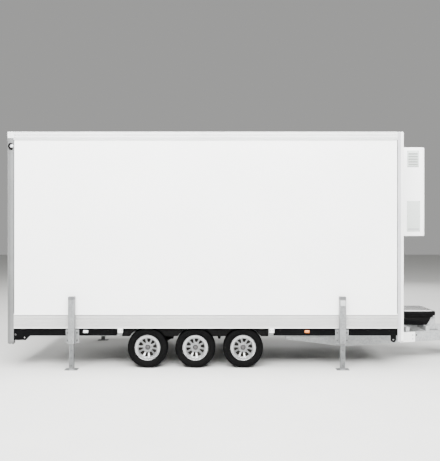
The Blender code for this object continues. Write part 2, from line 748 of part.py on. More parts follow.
def build_drawbar(looks):
    """Two tapered beams, the plate across them, the overrun coupling and its brake lever."""
    top = BEAM_TOP
    half = BEAM_WIDTH / 2
    for name, side in SIDES.items():
        tail, bend, nose = beam_line(side)
        across = half / math.cos(BEAM_HALF_ANGLE / 2)
        skew = half * math.tan(BEAM_HALF_ANGLE / 2)
        tilt = BEAM_HALF_ANGLE
        stations = []
        for (x, y), low, offsets in (
            (tail, BEAM_TAIL_BOTTOM, ((0, -half), (0, half))),
            (bend, BEAM_BOTTOM, ((-skew, -half), (skew, half))),
            (nose, BEAM_BOTTOM, ((-half * math.sin(tilt), -half * math.cos(tilt)),
                                 (half * math.sin(tilt), half * math.cos(tilt)))),
        ):
            ring = []
            for dx, dy in offsets:
                ring.append((x + dx, y + side * dy, low))
            for dx, dy in reversed(offsets):
                ring.append((x + dx, y + side * dy, top - GAP))
            stations.append(ring)
        shape = bmesh.new()
        rings = [[shape.verts.new(p) for p in ring] for ring in stations]
        shape.faces.new(rings[0])
        shape.faces.new(rings[-1])
        for ring, following in zip(rings, rings[1:]):
            for i in range(4):
                j = (i + 1) % 4
                shape.faces.new((ring[i], ring[j], following[j], following[i]))
        place(f"drawbar_beam_{name}", mesh_of(shape), looks["galvanised"], bevel=0.005)

    plate_x = NOSE_X - BEAM_END + 0.030
    slope = math.tan(BEAM_HALF_ANGLE)
    tip = abs(beam_line(1)[2][1]) + half
    outline = [
        (plate_x - PLATE_LENGTH, -tip - (PLATE_LENGTH - 0.03) * slope),
        (plate_x, -tip),
        (plate_x, tip),
        (plate_x - PLATE_LENGTH, tip + (PLATE_LENGTH - 0.03) * slope),
    ]
    plate_top = top + DRAWBAR_PLATE
    place("drawbar_plate", prism(outline, "z", top, plate_top), looks["galvanised"])

    low = plate_top + GAP
    middle_z = low + HOUSING_HEIGHT / 2
    housing_end = NOSE_X - HOUSING_FRONT
    housing = box(
        (housing_end - HOUSING_LENGTH, -HOUSING_WIDTH / 2, low),
        (housing_end, HOUSING_WIDTH / 2, low + HOUSING_HEIGHT),
    )
    tube = rod("x", (0, middle_z), DRAW_TUBE_RADIUS, housing_end - 0.02, NOSE_X - 0.10, 16)
    head = [
        (NOSE_X - HEAD_LENGTH, -HEAD_WIDTH * 0.38),
        (NOSE_X - HEAD_LENGTH * 0.55, -HEAD_WIDTH / 2),
        (NOSE_X - HEAD_LENGTH * 0.18, -HEAD_WIDTH * 0.42),
        (NOSE_X, -HEAD_WIDTH * 0.18),
        (NOSE_X, HEAD_WIDTH * 0.18),
        (NOSE_X - HEAD_LENGTH * 0.18, HEAD_WIDTH * 0.42),
        (NOSE_X - HEAD_LENGTH * 0.55, HEAD_WIDTH / 2),
        (NOSE_X - HEAD_LENGTH, HEAD_WIDTH * 0.38),
    ]
    head = prism(head, "z", middle_z - HOUSING_HEIGHT * 0.36, middle_z + HOUSING_HEIGHT * 0.36)
    cup = rod(
        "z",
        (NOSE_X - HEAD_LENGTH / 2, 0),
        BALL_RADIUS,
        middle_z - HOUSING_HEIGHT,
        middle_z + HOUSING_HEIGHT * 0.1,
        20,
    )
    grip = box(
        (NOSE_X - HEAD_LENGTH * 1.2, -0.014, middle_z + HOUSING_HEIGHT * 0.30),
        (NOSE_X - HEAD_LENGTH * 0.35, 0.014, middle_z + HOUSING_HEIGHT * 0.62),
    )
    coupling = joined(housing, tube, cut(head, cup), grip)
    place("overrun_coupling", coupling, looks["dark_steel"])

    pivot = Vector((housing_end - 0.20, 0, low + HOUSING_HEIGHT + GAP))
    lever = joined(
        box((-0.045, -0.020, 0.0), (0.045, 0.020, 0.050)),
        moved(
            box(
                (-LEVER_THICKNESS / 2, -LEVER_THICKNESS / 2, 0.0),
                (LEVER_THICKNESS / 2, LEVER_THICKNESS / 2, LEVER_LENGTH),
            ),
            Matrix.Translation((0, 0, 0.020)) @ Matrix.Rotation(math.radians(-40), 4, "Y"),
        ),
    )
    place("handbrake_lever", moved(lever, Matrix.Translation(pivot)), looks["black"], origin=pivot)


def build_jockey(looks):
    """A clamped tube with its crank, the sliding leg, the swivelling fork and its wheel."""
    x = NOSE_X - JOCKEY_SETBACK
    y = HOUSING_WIDTH / 2 + JOCKEY_TUBE_RADIUS + 0.030
    bore = JOCKEY_LEG_RADIUS + RUNNING_GAP
    shell = rod("z", (x, y), JOCKEY_TUBE_RADIUS, JOCKEY_TUBE_BOTTOM, JOCKEY_TUBE_TOP, 20)
    clamp_z = BEAM_TOP + DRAWBAR_PLATE + HOUSING_HEIGHT / 2
    clamp = box(
        (x - 0.030, HOUSING_WIDTH / 2 + GAP, clamp_z - 0.030), (x + 0.030, y, clamp_z + 0.030)
    )
    collar = rod("z", (x, y), JOCKEY_TUBE_RADIUS + 0.008, clamp_z - 0.034, clamp_z + 0.034, 20)
    tube = joined(shell, joined(collar, clamp))
    hollow = rod("z", (x, y), bore, JOCKEY_TUBE_BOTTOM - 0.1, JOCKEY_TUBE_TOP - 0.010, 20)
    crank_z = JOCKEY_TUBE_TOP + 0.030
    crank = joined(
        rod("z", (x, y), 0.010, JOCKEY_TUBE_TOP - 0.005, crank_z, 10),
        box((x - 0.145, y - 0.011, crank_z - 0.008), (x + 0.015, y + 0.011, crank_z)),
        rod("z", (x - 0.130, y), 0.009, crank_z - 0.004, crank_z + 0.085, 10),
    )
    place("jockey_tube", joined(cut(tube, hollow), crank), looks["galvanised"])

    fork_top = 2 * JOCKEY_WHEEL_RADIUS + 0.015
    leg_low = fork_top + RUNNING_GAP
    leg = rod("z", (x, y), JOCKEY_LEG_RADIUS, leg_low, leg_low + JOCKEY_LEG_LENGTH, 20)
    place("jockey_leg", leg, looks["chrome"], origin=(x, y, leg_low))

    wheel_x = x - JOCKEY_TRAIL
    inner = JOCKEY_WHEEL_WIDTH / 2 + MOVING_GAP
    outer = inner + JOCKEY_FORK_WALL
    crown = box((x - 0.075, y - outer, fork_top - 0.008), (x + 0.030, y + outer, fork_top))
    cheek = [
        (x - 0.072, fork_top - 0.004),
        (wheel_x - 0.018, JOCKEY_WHEEL_RADIUS - 0.012),
        (wheel_x + 0.018, JOCKEY_WHEEL_RADIUS - 0.012),
        (x + 0.028, fork_top - 0.004),
    ]
    fork = crown
    for side in (-1, 1):
        low, high = sorted((y + side * (inner + 0.0005), y + side * (outer - 0.0005)))
        fork = joined(fork, prism(cheek, "y", low, high))
    axle = rod(
        "y", (wheel_x, JOCKEY_WHEEL_RADIUS), JOCKEY_PIN, y - outer - 0.004, y + outer + 0.004, 12
    )
    place("jockey_fork", joined(fork, axle), looks["galvanised"], origin=(x, y, fork_top))

    half = JOCKEY_WHEEL_WIDTH / 2
    profile = [
        (JOCKEY_PIN + 0.0008, half * 0.9),
        (0.030, half * 0.9),
        (0.045, half * 0.5),
        (0.062, half * 0.8),
        (JOCKEY_WHEEL_RADIUS - 0.012, half),
        (JOCKEY_WHEEL_RADIUS, half * 0.6),
    ]
    profile += [(radius, -along) for radius, along in reversed(profile)]
    centre = (wheel_x, y, JOCKEY_WHEEL_RADIUS)
    wheel = moved(turned(profile, 24, True), Matrix.Translation(centre))
    place("jockey_wheel", wheel, looks["rubber"], origin=centre)


def build_stands(looks):
    """Four prop stands: a bolted outer tube and a drilled inner leg with its foot."""
    places = {"rear": REAR_X + STAND_REAR, "front": FRONT_X - STAND_FRONT}
    plate_in = SIDE_Y - SIDE_RAIL_INSET + GAP
    tube_in = plate_in + STAND_PLATE_THICKNESS - 0.002
    half, bore = STAND_TUBE / 2, STAND_TUBE / 2 - STAND_TUBE_WALL
    middle = tube_in + half
    for end, x in places.items():
        for name, side in SIDES.items():
            y = side * middle
            tube = box((x - half, y - half, STAND_TUBE_BOTTOM), (x + half, y + half, STAND_TUBE_TOP))
            low, high = sorted((side * plate_in, side * (plate_in + STAND_PLATE_THICKNESS)))
            plate = box(
                (x - STAND_PLATE / 2, low, STAND_PLATE_BOTTOM),
                (x + STAND_PLATE / 2, high, STAND_PLATE_BOTTOM + STAND_PLATE),
            )
            hollow = box(
                (x - bore, y - bore, STAND_TUBE_BOTTOM - 0.1),
                (x + bore, y + bore, STAND_TUBE_TOP - STAND_TUBE_WALL),
            )
            tube = cut(joined(tube, plate), hollow)
            place(f"stand_tube_{end}_{name}", tube, looks["galvanised"], origin=(x, y, 0.0))

            inner = STAND_LEG / 2
            wall = inner - STAND_LEG_WALL
            leg = box((x - inner, y - inner, 0.002), (x + inner, y + inner, STAND_LEG_TOP))
            well = box(
                (x - wall, y - wall, STAND_FOOT_THICKNESS), (x + wall, y + wall, STAND_LEG_TOP + 0.1)
            )
            foot = box(
                (x - STAND_FOOT / 2, y - STAND_FOOT * 0.35, 0.0),
                (x + STAND_FOOT / 2, y + STAND_FOOT * 0.35, STAND_FOOT_THICKNESS - 0.001),
            )
            leg = joined(cut(leg, well), foot)
            for i in range(STAND_HOLES):
                height = 0.060 + i * STAND_HOLE_PITCH
                hole = rod("y", (x, height), STAND_HOLE, y - half, y + half, 8)
                leg = cut(leg, hole)
            place(f"stand_leg_{end}_{name}", leg, looks["galvanised"], origin=(x, y, 0.0))


def build_cooler(looks):
    """The cooling unit on the front wall, with its fan opening and side louvre recesses."""
    half = COOLER_WIDTH / 2
    back, front = FRONT_X + GAP, FRONT_X + COOLER_DEPTH
    edge = COOLER_EDGE
    outline = [
        (back, -half),
        (front - edge, -half),
        (front, -half + edge),
        (front, half - edge),
        (front - edge, half),
        (back, half),
    ]
    unit = prism(outline, "z", COOLER_BOTTOM, COOLER_TOP)
    fan_z = COOLER_BOTTOM + FAN_HEIGHT
    fan = rod("x", (0, fan_z), FAN_RADIUS, front - FAN_RECESS, front + 0.1, 32)
    unit = cut(unit, fan)
    for side in SIDES.values():
        low, high = sorted((side * (half - LOUVRE_RECESS), side * (half + 0.1)))
        top = COOLER_TOP - LOUVRE_DROP
        recess = box(
            (FRONT_X + LOUVRE_BACK, low, top - LOUVRE_HEIGHT),
            (FRONT_X + LOUVRE_BACK + LOUVRE_LENGTH, high, top),
        )
        unit = cut(unit, recess)
    place("cooling_unit", unit, looks["panel"], origin=(FRONT_X, 0, COOLER_BOTTOM))


def rectangle(rear, front, half, height):
    return [(rear, -half, height), (front, -half, height), (front, half, height), (rear, half, height)]


def build_storage(looks):
    """The moulded tub on the drawbar, its lid, and the two bars that carry it."""
    rear, front = FRONT_X + BOX_REAR, FRONT_X + BOX_FRONT
    floor_half = BOX_HALF_WIDTH - BOX_TAPER_SIDE
    outside = loft(
        rectangle(rear + BOX_TAPER_REAR, front - BOX_TAPER_FRONT, floor_half, BOX_BOTTOM),
        rectangle(rear, front, BOX_HALF_WIDTH, BOX_RIM),
    )
    flange = box(
        (rear - BOX_FLANGE, -BOX_HALF_WIDTH - BOX_FLANGE, BOX_RIM - 0.010),
        (front + BOX_FLANGE, BOX_HALF_WIDTH + BOX_FLANGE, BOX_RIM + 0.001),
    )
    wall = BOX_WALL
    inside = loft(
        rectangle(
            rear + BOX_TAPER_REAR + wall,
            front - BOX_TAPER_FRONT - wall,
            floor_half - wall,
            BOX_BOTTOM + wall,
        ),
        rectangle(rear + wall * 0.5, front - wall * 0.2, BOX_HALF_WIDTH - wall * 0.5, BOX_RIM + 0.02),
    )
    place("storage_box", cut(joined(outside, flange), inside), looks["black_plastic"])

    low = LID_BOTTOM
    lid_rear, lid_front = rear - BOX_FLANGE, front + LID_OVERHANG
    half = BOX_HALF_WIDTH + LID_OVERHANG
    shoulder = LID_TOP - LID_DOME
    dome = LID_DOME * 2
    cap = loft(
        rectangle(lid_rear, lid_front, half, low), rectangle(lid_rear, lid_front, half, shoulder)
    )
    crown = loft(
        rectangle(lid_rear + 0.0005, lid_front - 0.0005, half - 0.0005, shoulder - 0.001),
        rectangle(lid_rear + dome, lid_front - dome, half - dome, LID_TOP),
    )
    hollow = loft(
        rectangle(lid_rear + wall, lid_front - wall, half - wall, low - 0.01),
        rectangle(lid_rear + dome, lid_front - dome, half - dome, LID_TOP - wall),
    )
    lid = cut(joined(cap, crown), hollow)
    hinge = (lid_rear, 0, low)
    place("storage_lid", lid, looks["black_plastic"], origin=hinge)
    build_carrier(looks)


def build_carrier(looks):
    """Two cross bars on the drawbar beams, tied together, with a gusset under each front corner."""
    low, high = BEAM_TOP, BOX_BOTTOM - GAP
    start = beam_line(1)[1]
    carrier = box(
        (FRONT_X + CARRIER_PLACES[0], -CARRIER_BAR / 2, low + 0.004),
        (FRONT_X + CARRIER_PLACES[1] + 0.010, CARRIER_BAR / 2, high - 0.004),
    )
    for bar in CARRIER_PLACES:
        reach = start[1] - (FRONT_X + bar - start[0]) * math.tan(BEAM_HALF_ANGLE)
        reach += BEAM_WIDTH / 2 - 0.010
        bar_x = FRONT_X + bar
        cross = box((bar_x, -reach, low), (bar_x + CARRIER_BAR, reach, high))
        carrier = joined(carrier, cross)
    slope = BOX_TAPER_FRONT / (BOX_RIM - BOX_BOTTOM)
    foot = FRONT_X + BOX_FRONT - BOX_TAPER_FRONT + GUSSET_GAP
    head_z = BOX_RIM - 0.010 - GUSSET_GAP
    gusset = [
        (FRONT_X + CARRIER_PLACES[1] + 0.010, low + 0.003),
        (FRONT_X + GUSSET_REACH, low + 0.003),
        (FRONT_X + GUSSET_REACH, head_z),
        (foot + (head_z - BOX_BOTTOM) * slope, head_z),
        (foot, BOX_BOTTOM - 0.006),
        (FRONT_X + CARRIER_PLACES[1] + 0.010, BOX_BOTTOM - 0.006),
    ]
    for side in SIDES.values():
        inner, outer = sorted((side * GUSSET_SPREAD, side * (GUSSET_SPREAD + GUSSET_THICKNESS)))
        carrier = joined(carrier, prism(gusset, "y", inner, outer))
    place("box_carrier", carrier, looks["galvanised"])


def main():
    for leftover in list(bpy.data.objects):
        bpy.data.objects.remove(leftover)
    looks = {
        "panel": material("panel", (0.86, 0.87, 0.86), 0.35),
        "trim": material("trim", (0.70, 0.71, 0.71), 0.40, 0.2),
        "skirt": material("skirt", (0.62, 0.63, 0.63), 0.42, 0.5),
        "post": material("post", (0.48, 0.49, 0.49), 0.45, 0.4),
        "floor": material("floor", (0.35, 0.34, 0.32), 0.70),
        "galvanised": material("galvanised", (0.58, 0.60, 0.61), 0.48, 0.7),
        "black": material("black", (0.012, 0.012, 0.014), 0.45),
        "black_plastic": material("black_plastic", (0.015, 0.015, 0.016), 0.35),
        "dark_steel": material("dark_steel", (0.10, 0.10, 0.11), 0.55, 0.5),
        "tyre": material("tyre", (0.018, 0.018, 0.019), 0.80),
        "rubber": material("rubber", (0.03, 0.03, 0.03), 0.75),
        "rim": material("rim", (0.66, 0.67, 0.68), 0.30, 0.8),
        "chrome": material("chrome", (0.75, 0.76, 0.77), 0.20, 1.0),
    }
    build_box(looks)
    build_rear(looks)
    build_chassis(looks)
    build_wheels(looks)
    build_mudguards(looks)
    build_drawbar(looks)
    build_jockey(looks)
    build_stands(looks)
    build_cooler(looks)
    build_storage(looks)


main()
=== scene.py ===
import math

import bmesh
import bpy
from mathutils import Matrix, Vector


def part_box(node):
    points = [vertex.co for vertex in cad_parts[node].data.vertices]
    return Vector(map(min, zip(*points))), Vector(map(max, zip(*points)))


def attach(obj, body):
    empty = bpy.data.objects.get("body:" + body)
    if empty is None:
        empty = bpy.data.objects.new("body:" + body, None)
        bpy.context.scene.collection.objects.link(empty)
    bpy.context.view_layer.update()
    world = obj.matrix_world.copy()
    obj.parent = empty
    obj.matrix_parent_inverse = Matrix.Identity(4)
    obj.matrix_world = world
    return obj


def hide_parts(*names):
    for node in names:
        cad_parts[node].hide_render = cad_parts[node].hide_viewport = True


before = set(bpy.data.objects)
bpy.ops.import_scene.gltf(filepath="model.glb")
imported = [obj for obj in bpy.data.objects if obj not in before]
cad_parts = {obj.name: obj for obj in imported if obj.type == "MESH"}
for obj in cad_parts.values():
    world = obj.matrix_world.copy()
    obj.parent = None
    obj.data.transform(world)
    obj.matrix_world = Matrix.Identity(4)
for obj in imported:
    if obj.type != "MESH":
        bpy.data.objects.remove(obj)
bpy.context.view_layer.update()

sides = {"right": -1, "left": 1}
rearX, sideY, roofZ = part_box("rear_frame")[0].x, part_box("rear_frame")[1].y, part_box("rear_frame")[1].z
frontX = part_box("front_header")[1].x
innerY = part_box("roof_rail_left")[0].y
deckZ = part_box("floor_panel")[1].z
postDepth = 0.083
upright = Matrix.Identity(4)
print("frame in:", len(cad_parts), "nodes")


# meshes

def placeOf(shape, axis):
    # turns a shape drawn round +Z so that it points along another axis
    turns = {"z": upright, "x": Matrix.Rotation(math.pi / 2, 4, "Y"), "y": Matrix.Rotation(-math.pi / 2, 4, "X"),
            "-y": Matrix.Rotation(math.pi / 2, 4, "X"), "-x": Matrix.Rotation(-math.pi / 2, 4, "Y"),
            "-z": Matrix.Rotation(math.pi, 4, "X")}
    return Matrix.Translation(shape) @ turns[axis]


def addBox(shape, low, high):
    low, high = Vector(map(min, low, high)), Vector(map(max, low, high))
    middle, size = (low + high) / 2, high - low
    matrix = Matrix.Translation(middle) @ Matrix.Diagonal((*size, 1))
    bmesh.ops.create_cube(shape, size=1, matrix=matrix)


def addPrism(shape, outline, axis, low, high):
    def point(a, b, along):
        return {"x": (along, a, b), "y": (a, along, b), "z": (a, b, along)}[axis]

    ends = [[shape.verts.new(point(a, b, along)) for a, b in outline] for along in (low, high)]
    shape.faces.new(ends[0])
    shape.faces.new(ends[1][::-1])
    count = len(outline)
    for i in range(count):
        j = (i + 1) % count
        shape.faces.new((ends[0][i], ends[0][j], ends[1][j], ends[1][i]))


def addTurned(shape, profile, steps, matrix, closed=False):
    # profile is (radius, height) round local +Z; a radius of 0 is a pole
    rings = []
    for radius, height in profile:
        if radius == 0:
            rings.append([shape.verts.new(matrix @ Vector((0, 0, height)))])
            continue
        ring = []
        for i in range(steps):
            angle = 2 * math.pi * i / steps
            local = Vector((radius * math.cos(angle), radius * math.sin(angle), height))
            ring.append(shape.verts.new(matrix @ local))
        rings.append(ring)
    pairs = list(zip(rings, rings[1:]))
    if closed:
        pairs.append((rings[-1], rings[0]))
    for first, second in pairs:
        for i in range(steps):
            j = (i + 1) % steps
            corners = [first[i % len(first)], first[j % len(first)]]
            corners += [second[j % len(second)], second[i % len(second)]]
            corners = list(dict.fromkeys(corners))
            if len(corners) > 2:
                shape.faces.new(corners)


def addRod(shape, start, end, radius, steps=16, soft=0.0):
    start, end = Vector(start), Vector(end)
    length = (end - start).length
    matrix = Matrix.Translation(start) @ (end - start).to_track_quat("Z", "Y").to_matrix().to_4x4()
    soft = min(soft, radius * 0.6, length * 0.4)
    profile = [(0, 0), (radius - soft, 0), (radius, soft), (radius, length - soft)]
    profile += [(radius - soft, length), (0, length)]
    if not soft:
        profile = [(0, 0), (radius, 0), (radius, length), (0, length)]
    addTurned(shape, profile, steps, matrix)


def roundedOutline(low, high, radius, steps=4):
    # a rectangle with round corners, as points in one plane
    points = []
    corners = ((high[0], high[1], 0), (low[0], high[1], 90), (low[0], low[1], 180), (high[0], low[1], 270))
    for x, y, start in corners:
        centre = (x + (radius if x == low[0] else -radius), y + (radius if y == low[1] else -radius))
        for i in range(steps + 1):
            angle = math.radians(start + 90 * i / steps)
            points.append((centre[0] + radius * math.cos(angle), centre[1] + radius * math.sin(angle)))
    return points


def addRings(shape, rings, capped=(True, True)):
    # joins rings of the same number of points, such as a moulding's levels
    made = [[shape.verts.new(point) for point in ring] for ring in rings]
    for first, second in zip(made, made[1:]):
        for i in range(len(first)):
            j = (i + 1) % len(first)
            shape.faces.new((first[i], first[j], second[j], second[i]))
    if capped[0]:
        shape.faces.new(made[0][::-1])
    if capped[1]:
        shape.faces.new(made[-1])


def shapeOf(add, *places, **settings):
    # a new shape that holds what one of the add functions puts in it
    shape = bmesh.new()
    add(shape, *places, **settings)
    return shape


def meshFrom(shape, facing=True):
    if facing:
        bmesh.ops.recalc_face_normals(shape, faces=shape.faces)
    mesh = bpy.data.meshes.new("shape")
    shape.to_mesh(mesh)
    shape.free()
    return mesh


def cutMesh(mesh, cutter):
    # what is left of one closed mesh after another is taken out of it
    body = bpy.data.objects.new("cutBody", mesh)
    tool = bpy.data.objects.new("cutTool", cutter)
    for piece in (body, tool):
        bpy.context.scene.collection.objects.link(piece)
    boolean = body.modifiers.new("cut", "BOOLEAN")
    boolean.object, boolean.operation, boolean.solver = tool, "DIFFERENCE", "EXACT"
    boolean.use_self = True
    graph = bpy.context.evaluated_depsgraph_get()
    made = bpy.data.meshes.new_from_object(body.evaluated_get(graph), depsgraph=graph)
    bpy.data.objects.remove(body)
    bpy.data.objects.remove(tool)
    return made


def finishPiece(name, mesh, finish, body="trailer", slot=None, bevel=0, smooth=32, stands=()):
    if isinstance(mesh, bmesh.types.BMesh):
        mesh = meshFrom(mesh)
    mesh.name = name
    mesh.materials.clear()
    mesh.materials.append(finishes[finish])
    for face in mesh.polygons:
        face.material_index = 0
    mesh.shade_smooth()
    mesh.set_sharp_from_angle(angle=math.radians(smooth))
    piece = bpy.data.objects.new(name, mesh)
    bpy.context.scene.collection.objects.link(piece)
    if bevel:
        edge = piece.modifiers.new("edge", "BEVEL")
        edge.width, edge.segments, edge.limit_method = bevel, 2, "ANGLE"
        edge.angle_limit = math.radians(38)
    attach(piece, body)
    slot = usualSlots.get(finish) if slot is None else slot
    if stands:
        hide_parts(*stands)
    return piece


# node trees

def addNode(tree, kind, values=None, **settings):
    made = tree.nodes.new(kind)
    for key, value in settings.items():
        setattr(made, key, value)
    for key, value in (values or {}).items():
        if isinstance(value, bpy.types.NodeSocket):
            tree.links.new(value, made.inputs[key])
        else:
            made.inputs[key].default_value = value
    return made


def join(tree, source, target):
    tree.links.new(source, target)


def startTree(name, kind, inputs, outputs):
    tree = bpy.data.node_groups.new(name, kind)
    for label, socketKind, value in inputs:
        socket = tree.interface.new_socket(label, in_out="INPUT", socket_type="NodeSocket" + socketKind)
        if value is not None:
            socket.default_value = value
    for label, socketKind in outputs:
        tree.interface.new_socket(label, in_out="OUTPUT", socket_type="NodeSocket" + socketKind)
    return tree, tree.nodes.new("NodeGroupInput"), tree.nodes.new("NodeGroupOutput")


def sumOf(tree, operation, first, second=None, vector=False):
    kind = "ShaderNodeVectorMath" if vector else "ShaderNodeMath"
    values = {0: first} if second is None else {0: first, 1: second}
    return addNode(tree, kind, values, operation=operation).outputs[0]


def times(tree, first, second, vector=False):
    return sumOf(tree, "MULTIPLY", first, second, vector)


def plus(tree, first, second, vector=False):
    return sumOf(tree, "ADD", first, second, vector)


def scaledVector(tree, vector, amount):
    return addNode(tree, "ShaderNodeVectorMath", {0: vector, "Scale": amount}, operation="SCALE").outputs[0]


def endTree(tree, source, given, out):
    real = tree.nodes.new("GeometryNodeRealizeInstances")
    dress = tree.nodes.new("GeometryNodeSetMaterial")
    join(tree, source, real.inputs["Geometry"])
    join(tree, real.outputs["Geometry"], dress.inputs["Geometry"])
    join(tree, given.outputs["Finish"], dress.inputs["Material"])
    join(tree, dress.outputs["Geometry"], out.inputs["Geometry"])


def makeGridTree():
    # copies of one shape in rows and columns, each turned a little at random
    tree, given, out = startTree("gridOfCopies", "GeometryNodeTree", (("Geometry", "Geometry", None), ("Columns",
            "Int", 1), ("Column Step", "Vector", (0.1, 0, 0)), ("Rows", "Int", 1),
            ("Row Step", "Vector", (0, 0, 0.1)), ("Start", "Vector", (0, 0, 0)), ("Turn", "Vector", (0, 0, 0)),
            ("Seed", "Int", 1), ("Finish", "Material", None)), (("Geometry", "Geometry"),))
    index = tree.nodes.new("GeometryNodeInputIndex").outputs[0]
    columns = given.outputs["Columns"]
    column = sumOf(tree, "MODULO", index, columns)
    row = sumOf(tree, "FLOOR", sumOf(tree, "DIVIDE", plus(tree, index, 0.001), columns))
    place = sumOf(tree, "ADD", scaledVector(tree, given.outputs["Column Step"], column),
            scaledVector(tree, given.outputs["Row Step"], row), True)
    place = plus(tree, place, given.outputs["Start"], True)
    points = addNode(tree, "GeometryNodePoints", {"Count": times(tree, columns, given.outputs["Rows"]),
            "Position": place})
    chance = addNode(tree, "FunctionNodeRandomValue", {"Seed": given.outputs["Seed"]}, data_type="FLOAT")
    turn = scaledVector(tree, given.outputs["Turn"], chance.outputs[1])
    copies = addNode(tree, "GeometryNodeInstanceOnPoints",
            {"Points": points.outputs[0], "Instance": given.outputs["Geometry"], "Rotation": turn})
    endTree(tree, copies.outputs["Instances"], given, out)
    return tree


def makeRingTree():
    # copies of one shape round local +Z, such as wheel bolts, tread blocks and fan blades
    tree, given, out = startTree("ringOfCopies", "GeometryNodeTree", (("Geometry", "Geometry", None), ("Count",
            "Int", 5), ("Radius", "Float", 0.05), ("First Angle", "Float", 0.0), ("Height", "Float", 0.0),
            ("Finish", "Material", None)), (("Geometry", "Geometry"),))
    index = tree.nodes.new("GeometryNodeInputIndex").outputs[0]
    step = sumOf(tree, "DIVIDE", 2 * math.pi, given.outputs["Count"])
    angle = plus(tree, times(tree, index, step), given.outputs["First Angle"])
    place = tree.nodes.new("ShaderNodeCombineXYZ")
    for axis, operation in (("X", "COSINE"), ("Y", "SINE")):
        swing = times(tree, sumOf(tree, operation, angle), given.outputs["Radius"])
        join(tree, swing, place.inputs[axis])
    join(tree, given.outputs["Height"], place.inputs["Z"])
    points = addNode(tree, "GeometryNodePoints", {"Count": given.outputs["Count"], "Position": place.outputs[0]})
    turn = addNode(tree, "ShaderNodeCombineXYZ", {"Z": angle})
    copies = addNode(tree, "GeometryNodeInstanceOnPoints",
            {"Points": points.outputs[0], "Instance": given.outputs["Geometry"], "Rotation": turn.outputs[0]})
    endTree(tree, copies.outputs["Instances"], given, out)
    return tree


def makeTubeTree():
    # a round bar bent along a path of straight edges, with rounded bends
    tree, given, out = startTree("tubeAlongPath", "GeometryNodeTree", (("Geometry", "Geometry", None), ("Radius",
            "Float", 0.01), ("Bend", "Float", 0.03), ("Sides", "Int", 12), ("Finish", "Material", None)),
            (("Geometry", "Geometry"),))
    curve = addNode(tree, "GeometryNodeMeshToCurve", {0: given.outputs["Geometry"]})
    bend = addNode(tree, "GeometryNodeFilletCurve", {"Count": 5, "Limit Radius": True, "Curve": curve.outputs[0],
            "Radius": given.outputs["Bend"]}, mode="POLY")
    ring = addNode(tree, "GeometryNodeCurvePrimitiveCircle",
            {"Resolution": given.outputs["Sides"], "Radius": given.outputs["Radius"]})
    tube = addNode(tree, "GeometryNodeCurveToMesh", {"Fill Caps": True, "Curve": bend.outputs[0],
            "Profile Curve": ring.outputs[0]})
    endTree(tree, tube.outputs[0], given, out)
    return tree


def makeBellowsTree():
    # a pleated rubber sleeve between two points: its radius swells and shrinks with each pleat
    tree, given, out = startTree("pleatedSleeve", "GeometryNodeTree", (("Geometry", "Geometry", None), ("Start",
            "Vector", (0, 0, 0)), ("End", "Vector", (0.1, 0, 0)), ("Pleats", "Int", 6), ("Valley", "Float", 0.03),
            ("Depth", "Float", 0.01), ("Finish", "Material", None)), (("Geometry", "Geometry"),))
    line = addNode(tree, "GeometryNodeCurvePrimitiveLine",
            {"Start": given.outputs["Start"], "End": given.outputs["End"]})
    finer = addNode(tree, "GeometryNodeResampleCurve", {"Curve": line.outputs[0],
            "Count": times(tree, given.outputs["Pleats"], 8)})
    index = tree.nodes.new("GeometryNodeInputIndex").outputs[0]
    wave = sumOf(tree, "SINE", times(tree, index, 2 * math.pi / 8))
    swell = times(tree, plus(tree, wave, 1.0), given.outputs["Depth"])
    radius = plus(tree, swell, given.outputs["Valley"])
    sized = addNode(tree, "GeometryNodeSetCurveRadius", {"Curve": finer.outputs[0], "Radius": radius})
    ring = addNode(tree, "GeometryNodeCurvePrimitiveCircle", {"Resolution": 32, "Radius": 1.0})
    tube = addNode(tree, "GeometryNodeCurveToMesh", {"Fill Caps": True})
    if "Scale" in tube.inputs:
        join(tree, radius, tube.inputs["Scale"])
    join(tree, sized.outputs[0], tube.inputs["Curve"])
    join(tree, ring.outputs[0], tube.inputs["Profile Curve"])
    endTree(tree, tube.outputs[0], given, out)
    return tree


gridTree, ringTree, tubeTree, bellowsTree = makeGridTree(), makeRingTree(), makeTubeTree(), makeBellowsTree()
print("geometry trees built")


def runTree(tree, start, values):
    # the plain mesh that a tree makes from a starting mesh
    if isinstance(start, bmesh.types.BMesh):
        start = meshFrom(start)
    holder = bpy.data.objects.new("treeHolder", start)
    bpy.context.scene.collection.objects.link(holder)
    modifier = holder.modifiers.new("tree", "NODES")
    modifier.node_group = tree
    for socket in tree.interface.items_tree:
        if socket.item_type == "SOCKET" and socket.in_out == "INPUT" and socket.name in values:
            modifier[socket.identifier] = values[socket.name]
    graph = bpy.context.evaluated_depsgraph_get()
    made = bpy.data.meshes.new_from_object(holder.evaluated_get(graph), depsgraph=graph)
    holder.modifiers.remove(modifier)
    bpy.data.objects.remove(holder)
    return made


def pathMesh(points, closed=False):
    count = len(points)
    edges = [(i, (i + 1) % count) for i in range(count if closed else count - 1)]
    mesh = bpy.data.meshes.new("path")
    mesh.from_pydata([tuple(point) for point in points], edges, [])
    return mesh


def mergedMesh(meshes):
    shape = bmesh.new()
    for mesh in meshes:
        shape.from_mesh(mesh)
    made = bpy.data.meshes.new("merged")
    shape.to_mesh(made)
    shape.free()
    return made


# shared shader groups

textureInputs = (("Scale", "Float", 10.0), ("Stretch", "Vector", (1, 1, 1)))
textureOutputs = (("Shade", "Float"), ("Height", "Float"))


def stretchedPlace(tree, given):
    place = tree.nodes.new("ShaderNodeTexCoord")
    return times(tree, place.outputs["Object"], given.outputs["Stretch"], True)


def rangeOf(tree, value, fromLow, fromHigh, toLow=0.0, toHigh=1.0):
    return addNode(tree, "ShaderNodeMapRange", {"From Min": fromLow, "From Max": fromHigh, "To Min": toLow,
            "To Max": toHigh, "Value": value}).outputs[0]


